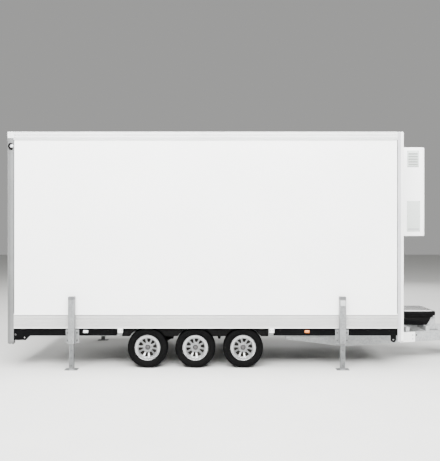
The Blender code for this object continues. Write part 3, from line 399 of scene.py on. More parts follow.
def noiseOf(tree, place, scale, detail=4.0, rough=0.55):
    return addNode(tree, "ShaderNodeTexNoise", {"Detail": detail, "Roughness": rough, "Vector": place,
            "Scale": scale}).outputs["Fac"]


def makePeel():
    # sprayed or gel-coated skin: orange peel on a slow waviness
    tree, given, out = startTree("peelSkin", "ShaderNodeTree", textureInputs, textureOutputs)
    place = stretchedPlace(tree, given)
    fine = noiseOf(tree, place, times(tree, given.outputs["Scale"], 12.0), 2.0)
    broad = noiseOf(tree, place, times(tree, given.outputs["Scale"], 0.12), 2.0)
    join(tree, rangeOf(tree, broad, 0.3, 0.7), out.inputs["Shade"])
    height = plus(tree, times(tree, fine, 0.12), times(tree, broad, 2.0))
    join(tree, height, out.inputs["Height"])
    return tree


def makeGrain():
    # moulded plastic and rubber: small pebbled grain
    tree, given, out = startTree("mouldedGrain", "ShaderNodeTree", textureInputs, textureOutputs)
    place = stretchedPlace(tree, given)
    cell = addNode(tree, "ShaderNodeTexVoronoi", {"Vector": place, "Scale": times(tree, given.outputs["Scale"],
            20.0)}, feature="SMOOTH_F1")
    soft = noiseOf(tree, place, given.outputs["Scale"], 5.0)
    join(tree, rangeOf(tree, soft, 0.3, 0.7), out.inputs["Shade"])
    join(tree, plus(tree, cell.outputs["Distance"], soft), out.inputs["Height"])
    return tree


def makeBrushed():
    # drawn or extruded metal: long fine lines
    tree, given, out = startTree("drawnMetal", "ShaderNodeTree", textureInputs, textureOutputs)
    place = stretchedPlace(tree, given)
    lines = noiseOf(tree, place, times(tree, given.outputs["Scale"], 9.0), 3.0, 0.7)
    place2 = tree.nodes.new("ShaderNodeTexCoord")
    cloud = noiseOf(tree, place2.outputs["Object"], 1.3, 3.0)
    shade = plus(tree, times(tree, lines, 0.5), times(tree, cloud, 0.5))
    join(tree, rangeOf(tree, shade, 0.35, 0.65), out.inputs["Shade"])
    join(tree, lines, out.inputs["Height"])
    return tree


def makeSpangle():
    # hot-dip zinc: crystals of slightly different greys with matt runs
    tree, given, out = startTree("zincSpangle", "ShaderNodeTree", textureInputs, textureOutputs)
    place = stretchedPlace(tree, given)
    warp = noiseOf(tree, place, times(tree, given.outputs["Scale"], 0.8), 2.0)
    bent = addNode(tree, "ShaderNodeVectorMath", {0: place, 1: times(tree, warp, 0.02)}, operation="ADD")
    cell = addNode(tree, "ShaderNodeTexVoronoi", {"Vector": bent.outputs[0], "Scale": given.outputs["Scale"]},
            feature="F1")
    split = addNode(tree, "ShaderNodeSeparateColor", {0: cell.outputs["Color"]})
    cloud = noiseOf(tree, place, times(tree, given.outputs["Scale"], 0.15), 4.0)
    mixed = plus(tree, times(tree, split.outputs[0], 0.55), times(tree, cloud, 0.7))
    join(tree, rangeOf(tree, mixed, 0.25, 0.95), out.inputs["Shade"])
    join(tree, plus(tree, cell.outputs["Distance"], cloud), out.inputs["Height"])
    return tree


def makeGrime():
    # road film that thins out upwards, broken up by noise and by runs of rain
    tree, given, out = startTree("roadFilm", "ShaderNodeTree", (("Low", "Float", 0.0), ("High", "Float", 1.0),
            ("Amount", "Float", 0.3), ("Scale", "Float", 3.0)), (("Mask", "Float"),))
    place = tree.nodes.new("ShaderNodeTexCoord").outputs["Object"]
    height = addNode(tree, "ShaderNodeSeparateXYZ", {0: place})
    fade = addNode(tree, "ShaderNodeMapRange", {"To Min": 1.0, "To Max": 0.0, "Value": height.outputs["Z"],
            "From Min": given.outputs["Low"], "From Max": given.outputs["High"]})
    cloud = noiseOf(tree, place, given.outputs["Scale"], 6.0, 0.65)
    run = times(tree, place, (9.0, 9.0, 0.7), True)
    runs = noiseOf(tree, run, 2.0, 3.0, 0.6)
    broken = times(tree, rangeOf(tree, cloud, 0.3, 0.75, 0.25, 1.0), rangeOf(tree, runs, 0.3, 0.7, 0.5, 1.0))
    mask = times(tree, sumOf(tree, "POWER", fade.outputs[0], 1.6), broken)
    join(tree, times(tree, mask, given.outputs["Amount"]), out.inputs["Mask"])
    return tree


def makeDust():
    # dust that lies on faces turned upwards
    tree, given, out = startTree("settledDust", "ShaderNodeTree", (("Amount", "Float", 0.3), ("Scale", "Float",
            8.0)), (("Mask", "Float"),))
    up = addNode(tree, "ShaderNodeSeparateXYZ", {0: tree.nodes.new("ShaderNodeNewGeometry").outputs["Normal"]})
    place = tree.nodes.new("ShaderNodeTexCoord").outputs["Object"]
    cloud = noiseOf(tree, place, given.outputs["Scale"], 6.0, 0.7)
    mask = times(tree, rangeOf(tree, up.outputs["Z"], 0.25, 1.0), rangeOf(tree, cloud, 0.3, 0.7, 0.3, 1.0))
    join(tree, times(tree, mask, given.outputs["Amount"]), out.inputs["Mask"])
    return tree


def makeEdgeWear():
    # where a corner turns sharply the finish is rubbed thin
    tree, given, out = startTree("edgeWear", "ShaderNodeTree", (("Radius", "Float", 0.004), ("Amount", "Float",
            0.5), ("Scale", "Float", 25.0)), (("Mask", "Float"),))
    soft = addNode(tree, "ShaderNodeBevel", {"Radius": given.outputs["Radius"]}, samples=4)
    flat = tree.nodes.new("ShaderNodeNewGeometry")
    turn = addNode(tree, "ShaderNodeVectorMath", {0: soft.outputs[0], 1: flat.outputs["Normal"]},
            operation="DOT_PRODUCT")
    edge = rangeOf(tree, turn.outputs["Value"], 0.99, 0.85)
    place = tree.nodes.new("ShaderNodeTexCoord").outputs["Object"]
    patch = rangeOf(tree, noiseOf(tree, place, given.outputs["Scale"], 5.0, 0.7), 0.38, 0.62)
    mask = times(tree, times(tree, edge, patch), given.outputs["Amount"])
    join(tree, mask, out.inputs["Mask"])
    return tree


textureTrees = {"peel": makePeel(), "grain": makeGrain(), "brushed": makeBrushed(), "spangle": makeSpangle()}
grimeTree, dustTree, wearTree = makeGrime(), makeDust(), makeEdgeWear()


def placeGroup(tree, group, values):
    return addNode(tree, "ShaderNodeGroup", values, node_tree=group)


def mixColour(tree, mask, first, second):
    first, second = (value if isinstance(value, bpy.types.NodeSocket) else (*value, 1) for value in (first, second))
    return addNode(tree, "ShaderNodeMix", {"Factor": mask, 6: first, 7: second}, data_type="RGBA").outputs[2]


def makeFinish(name, texture, scale, colour, second, rough, stretch=(1, 1, 1), spread=0.08, metal=0.0, shine=0.5,
        coat=0.0, coatRough=0.15, bump=0.3, depth=0.0006, grime=None, dust=None, wear=None):
    material = bpy.data.materials.new(name)
    material.use_nodes = True
    tree = material.node_tree
    shader = tree.nodes["Principled BSDF"]
    surface = placeGroup(tree, textureTrees[texture], {"Scale": scale, "Stretch": stretch})
    mixed = mixColour(tree, surface.outputs["Shade"], colour, second)
    roughness = rangeOf(tree, surface.outputs["Shade"], 0.0, 1.0, rough - spread, rough + spread)
    if grime:
        low, high, amount, tint = grime
        mask = placeGroup(tree, grimeTree, {"Low": low, "High": high, "Amount": amount, "Scale": 2.6}).outputs[0]
        mixed = mixColour(tree, mask, mixed, tint)
        roughness = plus(tree, roughness, times(tree, mask, 0.35))
    if dust:
        mask = placeGroup(tree, dustTree, {"Amount": dust[0], "Scale": 7.0}).outputs[0]
        mixed = mixColour(tree, mask, mixed, dust[1])
        roughness = plus(tree, roughness, times(tree, mask, 0.5))
    if wear:
        radius, amount, tint = wear
        mask = placeGroup(tree, wearTree, {"Radius": radius, "Amount": amount, "Scale": 25.0}).outputs[0]
        mixed = mixColour(tree, mask, mixed, tint)
    join(tree, mixed, shader.inputs["Base Color"])
    join(tree, roughness, shader.inputs["Roughness"])
    shader.inputs["Metallic"].default_value = metal
    shader.inputs["Specular IOR Level"].default_value = shine
    shader.inputs["Coat Weight"].default_value = coat
    shader.inputs["Coat Roughness"].default_value = coatRough
    dents = addNode(tree, "ShaderNodeBump", {"Strength": bump, "Distance": depth,
            "Height": surface.outputs["Height"]})
    join(tree, dents.outputs["Normal"], shader.inputs["Normal"])
    return material


finishLooks = {
    "whitePanel": dict(texture="peel", scale=9.0, colour=(0.875, 0.885, 0.875), second=(0.905, 0.91, 0.9),
        rough=0.34, coat=0.25, bump=0.25, depth=0.0008, spread=0.04, grime=(0.55, 1.2, 0.1, (0.55, 0.54, 0.5)),
        dust=(0.1, (0.6, 0.6, 0.57))),
    "trimAluminium": dict(texture="brushed", scale=14.0, stretch=(0.15, 1, 1), colour=(0.64, 0.655, 0.65),
        second=(0.72, 0.73, 0.725), rough=0.4, metal=0.2, bump=0.15, depth=0.0003,
        grime=(0.4, 2.0, 0.12, (0.42, 0.4, 0.36)), wear=(0.004, 0.35, (0.86, 0.87, 0.87))),
    "postAluminium": dict(texture="brushed", scale=14.0, stretch=(1, 1, 0.12), colour=(0.42, 0.42, 0.445),
        second=(0.52, 0.52, 0.53), rough=0.42, metal=0.25, bump=0.15, depth=0.0003,
        grime=(0.3, 2.2, 0.14, (0.4, 0.38, 0.34)), wear=(0.004, 0.4, (0.82, 0.83, 0.83))),
    "skirtAluminium": dict(texture="brushed", scale=16.0, stretch=(0.1, 1, 1), colour=(0.42, 0.42, 0.415),
        second=(0.52, 0.52, 0.51), rough=0.38, metal=0.35, bump=0.2, depth=0.0003,
        grime=(0.4, 1.0, 0.22, (0.36, 0.33, 0.28)), wear=(0.003, 0.5, (0.84, 0.85, 0.85))),
    "rearPost": dict(texture="brushed", scale=12.0, stretch=(1, 1, 0.12), colour=(0.092, 0.094, 0.094),
        second=(0.12, 0.123, 0.123), rough=0.45, metal=0.25, bump=0.2, depth=0.0004,
        grime=(0.3, 2.0, 0.22, (0.12, 0.11, 0.1)), wear=(0.004, 0.5, (0.42, 0.43, 0.43))),
    # a lighter copy of rearPost: a painted highlight for the lit half of the post's outer face
    "rearPostLitFace": dict(texture="brushed", scale=12.0, stretch=(1, 1, 0.12), colour=(0.12, 0.124, 0.124),
        second=(0.16, 0.164, 0.164), rough=0.42, metal=0.25, bump=0.2, depth=0.0004,
        grime=(0.3, 2.0, 0.2, (0.12, 0.11, 0.1)), wear=(0.004, 0.5, (0.42, 0.43, 0.43))),
    "loadDeck": dict(texture="grain", scale=26.0, colour=(0.3, 0.31, 0.32), second=(0.38, 0.385, 0.39), rough=0.7,
        bump=0.6, depth=0.001, dust=(0.25, (0.45, 0.44, 0.4)), grime=(0.4, 0.7, 0.4, (0.16, 0.15, 0.13))),
    "zinc": dict(texture="spangle", scale=55.0, colour=(0.28, 0.29, 0.295), second=(0.42, 0.43, 0.435), rough=0.46,
        metal=0.4, bump=0.12, depth=0.0004, grime=(0.0, 0.9, 0.25, (0.12, 0.11, 0.095)),
        dust=(0.15, (0.3, 0.29, 0.27)), wear=(0.004, 0.35, (0.5, 0.51, 0.51))),
    "zincBright": dict(texture="spangle", scale=80.0, colour=(0.13, 0.135, 0.14), second=(0.22, 0.225, 0.225),
        rough=0.42, metal=0.3, bump=0.1, depth=0.0003, grime=(0.0, 0.9, 0.25, (0.1, 0.095, 0.085)),
        wear=(0.003, 0.3, (0.5, 0.5, 0.5))),
    "zincDark": dict(texture="spangle", scale=80.0, colour=(0.08, 0.085, 0.088), second=(0.14, 0.145, 0.145),
        rough=0.42, metal=0.3, bump=0.1, depth=0.0003, grime=(0.0, 0.5, 0.3, (0.08, 0.075, 0.065)),
        wear=(0.003, 0.3, (0.5, 0.5, 0.5))),
    "blackPaint": dict(texture="peel", scale=14.0, colour=(0.0014, 0.0014, 0.0016), second=(0.0028, 0.0028, 0.003),
        rough=0.45, shine=0.02, bump=0.3, depth=0.0006, grime=(0.1, 0.8, 0.12, (0.012, 0.011, 0.009)),
        dust=(0.08, (0.05, 0.047, 0.04)), wear=(0.003, 0.35, (0.04, 0.038, 0.035))),
    "blackMoulding": dict(texture="grain", scale=30.0, colour=(0.002, 0.002, 0.0022), second=(0.004, 0.004, 0.0042),
        rough=0.55, shine=0.02, bump=0.5, depth=0.0005, grime=(0.0, 0.8, 0.22, (0.022, 0.02, 0.016)),
        dust=(0.08, (0.05, 0.047, 0.04)), wear=(0.003, 0.25, (0.02, 0.02, 0.02))),
    "glossMoulding": dict(texture="peel", scale=10.0, colour=(0.003, 0.003, 0.0032), second=(0.005, 0.005, 0.0052),
        rough=0.4, shine=0.03, coat=0.03, coatRough=0.2, bump=0.3, depth=0.0006, dust=(0.12, (0.1, 0.095, 0.085)),
        wear=(0.002, 0.2, (0.03, 0.03, 0.03))),
    "axleSteel": dict(texture="grain", scale=22.0, colour=(0.008, 0.008, 0.008), second=(0.018, 0.017, 0.016),
        rough=0.58, metal=0.1, shine=0.05, bump=0.4, depth=0.0006, grime=(0.0, 0.6, 0.5, (0.03, 0.024, 0.017)),
        wear=(0.004, 0.5, (0.07, 0.05, 0.035))),
    "tyreRubber": dict(texture="grain", scale=24.0, colour=(0.0014, 0.0014, 0.0016), second=(0.003, 0.003, 0.0031),
        rough=0.62, shine=0.03, bump=0.35, depth=0.0004, grime=(0.0, 0.5, 0.2, (0.012, 0.011, 0.009)),
        wear=(0.002, 0.3, (0.016, 0.016, 0.016))),
    "rubber": dict(texture="grain", scale=30.0, colour=(0.004, 0.004, 0.004), second=(0.008, 0.008, 0.008),
        rough=0.62, shine=0.03, bump=0.4, depth=0.0004, dust=(0.2, (0.05, 0.047, 0.04)),
        wear=(0.002, 0.2, (0.02, 0.02, 0.02))),
    "wheelSilver": dict(texture="brushed", scale=20.0, colour=(0.18, 0.185, 0.19), second=(0.27, 0.275, 0.28),
        rough=0.28, metal=0.8, coat=0.2, bump=0.08, depth=0.0003, spread=0.05,
        grime=(0.08, 0.5, 0.16, (0.26, 0.23, 0.19)), wear=(0.0015, 0.3, (0.9, 0.9, 0.9))),
    "wheelLip": dict(texture="brushed", scale=22.0, colour=(0.33, 0.335, 0.34), second=(0.44, 0.445, 0.45),
        rough=0.24, metal=0.75, coat=0.1, bump=0.05, depth=0.0002, spread=0.05,
        grime=(0.08, 0.5, 0.1, (0.35, 0.32, 0.28)), wear=(0.001, 0.2, (0.9, 0.9, 0.9))),
    "boltSteel": dict(texture="spangle", scale=160.0, colour=(0.2, 0.2, 0.205), second=(0.34, 0.34, 0.34),
        rough=0.42, metal=0.7, bump=0.1, depth=0.0002, wear=(0.001, 0.5, (0.6, 0.6, 0.6))),
    "chrome": dict(texture="brushed", scale=30.0, stretch=(1, 1, 0.1), colour=(0.66, 0.67, 0.68),
        second=(0.76, 0.77, 0.78), rough=0.18, metal=0.9, bump=0.05, depth=0.0002, spread=0.06,
        grime=(0.0, 0.5, 0.12, (0.3, 0.28, 0.24)), wear=(0.001, 0.2, (0.9, 0.9, 0.9))),
    "whitePlastic": dict(texture="grain", scale=18.0, colour=(0.72, 0.73, 0.72), second=(0.78, 0.785, 0.775),
        rough=0.42, bump=0.2, depth=0.0003, grime=(0.4, 1.2, 0.12, (0.45, 0.43, 0.38)),
        dust=(0.12, (0.5, 0.49, 0.46))),
    "coolerWhite": dict(texture="peel", scale=12.0, colour=(0.93, 0.94, 0.935), second=(0.95, 0.96, 0.955),
        rough=0.36, coat=0.2, bump=0.25, depth=0.0006, dust=(0.15, (0.6, 0.6, 0.56)),
        wear=(0.003, 0.15, (0.7, 0.7, 0.69)), grime=(1.7, 2.2, 0.12, (0.5, 0.5, 0.46))),
    "coolerPanel": dict(texture="peel", scale=12.0, colour=(0.5, 0.54, 0.515), second=(0.58, 0.61, 0.59),
        rough=0.42, bump=0.25, depth=0.0005, grime=(1.7, 2.4, 0.16, (0.42, 0.42, 0.38)),
        dust=(0.1, (0.6, 0.6, 0.56))),
    "innerLining": dict(texture="peel", scale=14.0, colour=(0.78, 0.785, 0.775), second=(0.83, 0.835, 0.825),
        rough=0.4, bump=0.3, depth=0.0006, grime=(0.7, 1.3, 0.14, (0.5, 0.48, 0.43)), dust=(0.1, (0.6, 0.6, 0.56))),
    # a lighter copy of skirtAluminium: bright aluminium for roof strips and brackets, and a painted highlight where
    # it stands for the lit face of the front post and the bright bands of the skirt
    "brightAluminiumAndHighlight": dict(texture="brushed", scale=16.0, stretch=(0.1, 1, 1), colour=(0.74, 0.745, 0.735),
        second=(0.82, 0.825, 0.815), rough=0.36, metal=0.2, bump=0.15, depth=0.0002,
        grime=(0.4, 1.0, 0.1, (0.4, 0.38, 0.33)), wear=(0.002, 0.2, (0.9, 0.9, 0.9))),
    "greyMoulding": dict(texture="grain", scale=18.0, colour=(0.085, 0.087, 0.09), second=(0.12, 0.122, 0.125),
        rough=0.45, shine=0.3, bump=0.2, depth=0.0003, dust=(0.2, (0.4, 0.38, 0.34))),
    "greyLabel": dict(texture="peel", scale=20.0, colour=(0.34, 0.355, 0.36), second=(0.44, 0.45, 0.45), rough=0.4,
        shine=0.4, bump=0.1, depth=0.0002, wear=(0.003, 0.4, (0.75, 0.75, 0.75))),
    "whitePlate": dict(texture="peel", scale=12.0, colour=(0.9, 0.905, 0.9), second=(0.94, 0.945, 0.94), rough=0.34,
        metal=0.1, bump=0.1, depth=0.0002, grime=(0.4, 1.0, 0.12, (0.4, 0.38, 0.33)),
        wear=(0.002, 0.3, (0.6, 0.6, 0.6))),
    "darkBolt": dict(texture="grain", scale=40.0, colour=(0.03, 0.03, 0.03), second=(0.06, 0.058, 0.055), rough=0.5,
        metal=0.2, shine=0.2, bump=0.2, depth=0.0002, wear=(0.001, 0.4, (0.3, 0.3, 0.3))),
    "castIron": dict(texture="grain", scale=22.0, colour=(0.045, 0.046, 0.05), second=(0.075, 0.076, 0.08),
        rough=0.48, metal=0.35, shine=0.3, bump=0.45, depth=0.0007, grime=(0.3, 0.8, 0.2, (0.14, 0.1, 0.07)),
        wear=(0.003, 0.5, (0.28, 0.28, 0.29))),
    "lidGloss": dict(texture="peel", scale=9.0, colour=(0.01, 0.01, 0.011), second=(0.014, 0.014, 0.015),
        rough=0.22, shine=0.5, coat=1.0, coatRough=0.07, bump=0.05, depth=0.0002, dust=(0.22, (0.3, 0.29, 0.27))),
    # dark sealant for joints and beads; also painted shade where thin dark sheets stand for holes, slots and gaps
    "sealantAndOpeningShade": dict(texture="grain", scale=30.0, colour=(0.018, 0.018, 0.018), second=(0.03, 0.03, 0.03), rough=0.6,
        shine=0.1, bump=0.3, depth=0.0003, dust=(0.2, (0.08, 0.075, 0.065))),
}
finishes = {name: makeFinish(name, **look) for name, look in finishLooks.items()}
lensLooks = {
    "lensAmber": dict(colour=(0.75, 0.22, 0.01), deep=(0.42, 0.09, 0.004), ribs=260.0),
    "lensRed": dict(colour=(0.45, 0.01, 0.008), deep=(0.2, 0.004, 0.004), ribs=260.0),
    "lensClear": dict(colour=(0.72, 0.74, 0.74), deep=(0.5, 0.52, 0.53), ribs=320.0),
}


def makeLens(name, look):
    # moulded lens: a small prism pattern under a glossy skin
    material = bpy.data.materials.new(name)
    material.use_nodes = True
    tree = material.node_tree
    shader = tree.nodes["Principled BSDF"]
    place = tree.nodes.new("ShaderNodeTexCoord").outputs["Object"]
    cell = addNode(tree, "ShaderNodeTexVoronoi", {"Scale": look["ribs"], "Randomness": 0.0, "Vector": place},
            feature="F1", distance="CHEBYCHEV")
    colour = mixColour(tree, rangeOf(tree, cell.outputs["Distance"], 0.1, 0.6), look["colour"], look["deep"])
    mask = placeGroup(tree, grimeTree, {"Low": 0.2, "High": 1.0, "Amount": 0.15, "Scale": 6.0}).outputs[0]
    join(tree, mixColour(tree, mask, colour, (0.2, 0.18, 0.15)), shader.inputs["Base Color"])
    join(tree, rangeOf(tree, noiseOf(tree, place, 30.0), 0.3, 0.7, 0.1, 0.22), shader.inputs["Roughness"])
    shader.inputs["Coat Weight"].default_value = 0.6
    shader.inputs["Coat Roughness"].default_value = 0.05
    bump = addNode(tree, "ShaderNodeBump", {"Strength": 0.5, "Distance": 0.0008,
            "Height": cell.outputs["Distance"]})
    join(tree, bump.outputs["Normal"], shader.inputs["Normal"])
    return material


finishes.update({name: makeLens(name, look) for name, look in lensLooks.items()})
print("finishes:", len(finishes))


# slot names by finish, which finishPiece looks up when a piece names none
usualSlots = {
    "postAluminium": "trim", "brightAluminiumAndHighlight": "trim", "trimAluminium": "trim", "blackMoulding": "black_plastic",
    "greyMoulding": "black_plastic", "lidGloss": "black_plastic", "loadDeck": "floor", "boltSteel": "galvanised",
    "darkBolt": "galvanised", "whitePlate": "galvanised", "zinc": "galvanised", "zincBright": "galvanised",
    "castIron": "dark_steel", "rubber": "rubber", "blackPaint": "black", "glossMoulding": "black",
    "sealantAndOpeningShade": "black", "wheelSilver": "rim", "coolerPanel": "panel", "coolerWhite": "panel", "greyLabel": "panel",
    "innerLining": "panel", "whitePanel": "panel", "rearPost": "post",
}


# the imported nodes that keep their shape

nodeFinishes = {
    "loadDeck": ("floor_panel",),
    "whitePanel": ("roof_panel", "front_wall", "side_wall", "rear_door"),
    "trimAluminium": ("front_header", "roof_rail"),
    "postAluminium": ("front_post",),
    "skirtAluminium": ("skirt",),
    "rearPost": ("rear_frame",),
    "chrome": ("jockey_leg",),
    "blackPaint": ("side_rail_rear", "side_rail_front"),
    "zinc": ("light_bar", "main_rail", "drawbar_beam", "drawbar_plate", "box_carrier"),
    "zincBright": ("jockey_tube", "jockey_fork", "stand_tube_rear", "stand_tube_front"),
    "zincDark": ("stand_leg_rear", "stand_leg_front"),
    "blackMoulding": ("mudguard",),
    "axleSteel": ("axle_rear", "axle_middle", "axle_front"),
}
for finishName, nodeNames in nodeFinishes.items():
    for nodeName in nodeNames:
        for ending in ("", "_right", "_left"):
            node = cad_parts.get(nodeName + ending)
            for slotOfNode in node.material_slots if node else ():
                slotOfNode.material = finishes[finishName]


# wheels

wheelSizes = {
    "axles": ("rear", "middle", "front"), "rimFlange": 0.1705, "rimHalf": 0.0785, "faceRadius": 0.131,
    "windowOuter": 0.1262, "wideFirst": 10, "narrowFirst": 46, "boltCircle": 0.056, "lipDots": 40,
    "treadBlocks": 64,
}


def wheelMatrix(node, side):
    low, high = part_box(node)
    middle = (low + high) / 2
    turn = Matrix(((1, 0, 0), (0, 0, -1), (0, 1, 0))).to_4x4()
    if side > 0:
        turn = Matrix.Rotation(math.pi, 4, "Z") @ turn
    return Matrix.Translation(middle) @ turn


def tyreMesh(radius, halfWidth):
    profile = [(0.154, 0.0655), (0.1695, 0.071), (0.1738, 0.0795), (0.1765, 0.085), (0.185, 0.0905),
            (0.1856, 0.0924), (0.1876, 0.0928), (0.1884, 0.0914), (0.202, 0.0955), (0.216, halfWidth - 0.001),
            (0.2168, halfWidth + 0.0008), (0.2192, halfWidth + 0.0008), (0.22, halfWidth - 0.001), (0.234, 0.095),
            (0.2346, 0.0962), (0.2364, 0.0956), (0.237, 0.0938), (0.248, 0.089), (0.256, 0.082), (0.2612, 0.0735),
            (0.264, 0.064), (0.2655, 0.059), (0.268, 0.056), (0.2612, 0.0545), (0.2612, 0.0475),
            (radius - 0.001, 0.046), (radius - 0.0003, 0.02), (0.262, 0.0185), (0.262, 0.0115), (radius, 0.01)]
    profile += [(r, -z) for r, z in reversed(profile)]
    carcass = meshFrom(shapeOf(addTurned, profile, 96, upright, True))
    shoulder = [(0.256, 0.057), (0.2685, 0.057), (0.2668, 0.068), (0.2625, 0.077), (0.256, 0.085), (0.25, 0.086)]
    parts = [carcass]
    for end in (-1, 1):
        block = bmesh.new()
        outline = [(r - radius, end * z) for r, z in shoulder]
        addPrism(block, outline, "y", -0.0085, 0.0085)
        parts.append(runTree(ringTree, block, {"Count": wheelSizes["treadBlocks"], "Radius": radius,
                "First Angle": 0.02 * end, "Finish": finishes["tyreRubber"]}))
    return mergedMesh(parts)


def rimBarrelMesh():
    flange, half = wheelSizes["rimFlange"], wheelSizes["rimHalf"]
    profile = [(flange - 0.0012, half - 0.0085), (flange, half - 0.0065), (flange, half - 0.002),
            (flange - 0.0018, half), (flange - 0.0045, half), (flange - 0.0065, half - 0.002), (0.1605, 0.0722),
            (0.156, 0.0708), (0.148, 0.07), (0.14, 0.069), (0.1345, 0.0668), (0.131, 0.062), (0.129, 0.056),
            (0.1285, 0.02), (0.128, -0.03), (0.139, -0.06), (0.147, -0.068), (flange - 0.0065, -half + 0.005),
            (flange - 0.0045, -half), (flange, -half), (flange, -half + 0.0085), (0.1545, -half + 0.01),
            (0.152, -0.05), (0.14, -0.03), (0.14, 0.01), (0.152, 0.03), (0.1535, 0.065)]
    return meshFrom(shapeOf(addTurned, profile, 96, upright, True))


def windowOutline(angle, inner, outer, innerHalf, outerHalf):
    # a keystone with round corners
    corners = []
    for radius, half, ends in ((inner, innerHalf, (-1, 1)), (outer, outerHalf, (1, -1))):
        for end in ends:
            corners.append((angle + end * math.radians(half), radius))
    points = []
    count = len(corners)
    flat = [Vector((r * math.cos(a), r * math.sin(a))) for a, r in corners]
    for i in range(count):
        before, here, after = flat[i - 1], flat[i], flat[(i + 1) % count]
        reach = min((before - here).length, (after - here).length) * 0.38
        start = here + (before - here).normalized() * reach
        end = here + (after - here).normalized() * reach
        for step in range(5):
            t = step / 4
            points.append(start * (1 - t) ** 2 + here * 2 * t * (1 - t) + end * t ** 2)
    # the outer edge follows the rim's circle
    for point in points:
        if point.length > outer - 0.004:
            point *= (outer - (outer - point.length) * 0.6) / point.length
    return [(p.x, p.y) for p in points]


def spokeMesh():
    face = wheelSizes["faceRadius"]
    profile = [(0, 0.0245), (0.062, 0.025), (0.09, 0.032), (0.115, 0.04), (face, 0.043), (face, 0.061),
            (0.127, 0.0622), (0.122, 0.0606), (0.106, 0.0535), (0.088, 0.0455), (0.074, 0.04), (0.064, 0.0375),
            (0.043, 0.037), (0.04, 0.0395), (0.035, 0.0395), (0.0335, 0.036), (0, 0.036)]
    disc = meshFrom(shapeOf(addTurned, profile, 60, upright))
    cutter = bmesh.new()
    for i in range(5):
        wide = math.radians(wheelSizes["wideFirst"] + 72 * i)
        narrow = math.radians(wheelSizes["narrowFirst"] + 72 * i)
        outer = wheelSizes["windowOuter"]
        addPrism(cutter, windowOutline(wide, 0.07, outer, 10.0, 15.0), "z", 0.0, 0.1)
        addPrism(cutter, windowOutline(narrow, 0.06, outer, 7.0, 13.0), "z", 0.0, 0.1)
        place = Matrix.Rotation(wide, 4, "Z") @ Matrix.Translation((wheelSizes["boltCircle"], 0, 0))
        addTurned(cutter, [(0, 0.029), (0.0115, 0.029), (0.013, 0.1), (0, 0.1)], 14, place)
    return cutMesh(disc, meshFrom(cutter))


def ringPiece(profile, steps=40):
    return meshFrom(shapeOf(addTurned, profile, steps, upright))


def wheelBoltMesh():
    bolt = shapeOf(addTurned, [(0, 0.0), (0.01, 0.0), (0.01, 0.002), (0.0085, 0.0025), (0.0085, 0.0095),
            (0.007, 0.0115), (0, 0.012)], 6, upright)
    return runTree(ringTree, bolt, {"Count": 5, "Radius": wheelSizes["boltCircle"],
            "First Angle": math.radians(wheelSizes["wideFirst"]), "Height": 0.0286,
            "Finish": finishes["boltSteel"]})


def lipDotMesh():
    dot = shapeOf(addTurned, [(0, -0.001), (0.0026, -0.001), (0.0024, 0.0008), (0.0012, 0.0018), (0, 0.002)], 8,
            upright)
    return runTree(ringTree, dot, {"Count": wheelSizes["lipDots"], "Radius": 0.152, "First Angle": 0.04,
            "Height": 0.0706, "Finish": finishes["boltSteel"]})


def valveMesh():
    shape = bmesh.new()
    place = Matrix.Rotation(math.radians(28), 4, "Z") @ Matrix.Translation((0.127, 0, 0.06)) @ Matrix.Rotation(-0.5,
            4, "Y")
    addTurned(shape, [(0, -0.01), (0.0045, -0.01), (0.0045, 0.004), (0.003, 0.01), (0.0034, 0.02), (0.0026, 0.0225),
            (0, 0.0225)], 10, place)
    return meshFrom(shape)


tyreLow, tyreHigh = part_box("tyre_middle_right")
wheelMeshes = {
    "tyre": (tyreMesh((tyreHigh.x - tyreLow.x) / 2, (tyreHigh.y - tyreLow.y) / 2 - 0.001), "tyreRubber", "tyre"),
    "rimBarrel": (rimBarrelMesh(), "wheelLip", "rim"),
    "rimSpokes": (spokeMesh(), "wheelSilver", "rim"),
    "capRing": (ringPiece([(0, 0.035), (0.0332, 0.035), (0.0332, 0.04), (0.029, 0.044), (0.0262, 0.044),
        (0.025, 0.039), (0, 0.039)]), "rubber", "rubber"),
    "capDome": (ringPiece([(0, 0.037), (0.0248, 0.037), (0.0248, 0.043), (0.0225, 0.0455), (0.014, 0.0475),
        (0, 0.0485)]), "castIron", "rim"),
    "wheelBolts": (wheelBoltMesh(), "boltSteel", "galvanised"),
    "lipDots": (lipDotMesh(), "boltSteel", "rim"),
    "valve": (valveMesh(), "rubber", "rubber"),
}
for axle in wheelSizes["axles"]:
    for sideName, side in sides.items():
        body = f"wheel_{axle}_{sideName}"
        matrix = wheelMatrix(f"tyre_{axle}_{sideName}", side)
        for part, (mesh, finishName, slotName) in wheelMeshes.items():
            placed = mesh.copy()
            placed.transform(matrix)
            stands = {"tyre": (f"tyre_{axle}_{sideName}",), "rimBarrel": (f"rim_{axle}_{sideName}",)}.get(part, ())
            finishPiece(f"{part}_{axle}_{sideName}", placed, finishName, body, slotName,
                    bevel=0.0018 if part == "rimSpokes" else 0, stands=stands)
print("wheels on")


# fittings made from rods, bolts and plates

def boxOutline(low, high, radius, height):
    return [(x, y, height) for x, y in roundedOutline(low, high, radius, 5)]


def hexBolt(radius, height):
    return shapeOf(addTurned, [(0, -0.001), (radius * 1.35, -0.001), (radius * 1.35, radius * 0.15),
            (radius, radius * 0.2), (radius, height * 0.85), (radius * 0.85, height), (0, height)], 6, upright)


def domeRivet(radius, height):
    return shapeOf(addTurned, [(0, -0.001), (radius, -0.001), (radius * 0.95, height * 0.4),
            (radius * 0.55, height * 0.9), (0, height)], 8, upright)


def turnedShape(shape, axis):
    # a small shape made round +Z, pointed another way before it is copied
    bmesh.ops.transform(shape, matrix=placeOf((0, 0, 0), axis), verts=shape.verts)
    return shape


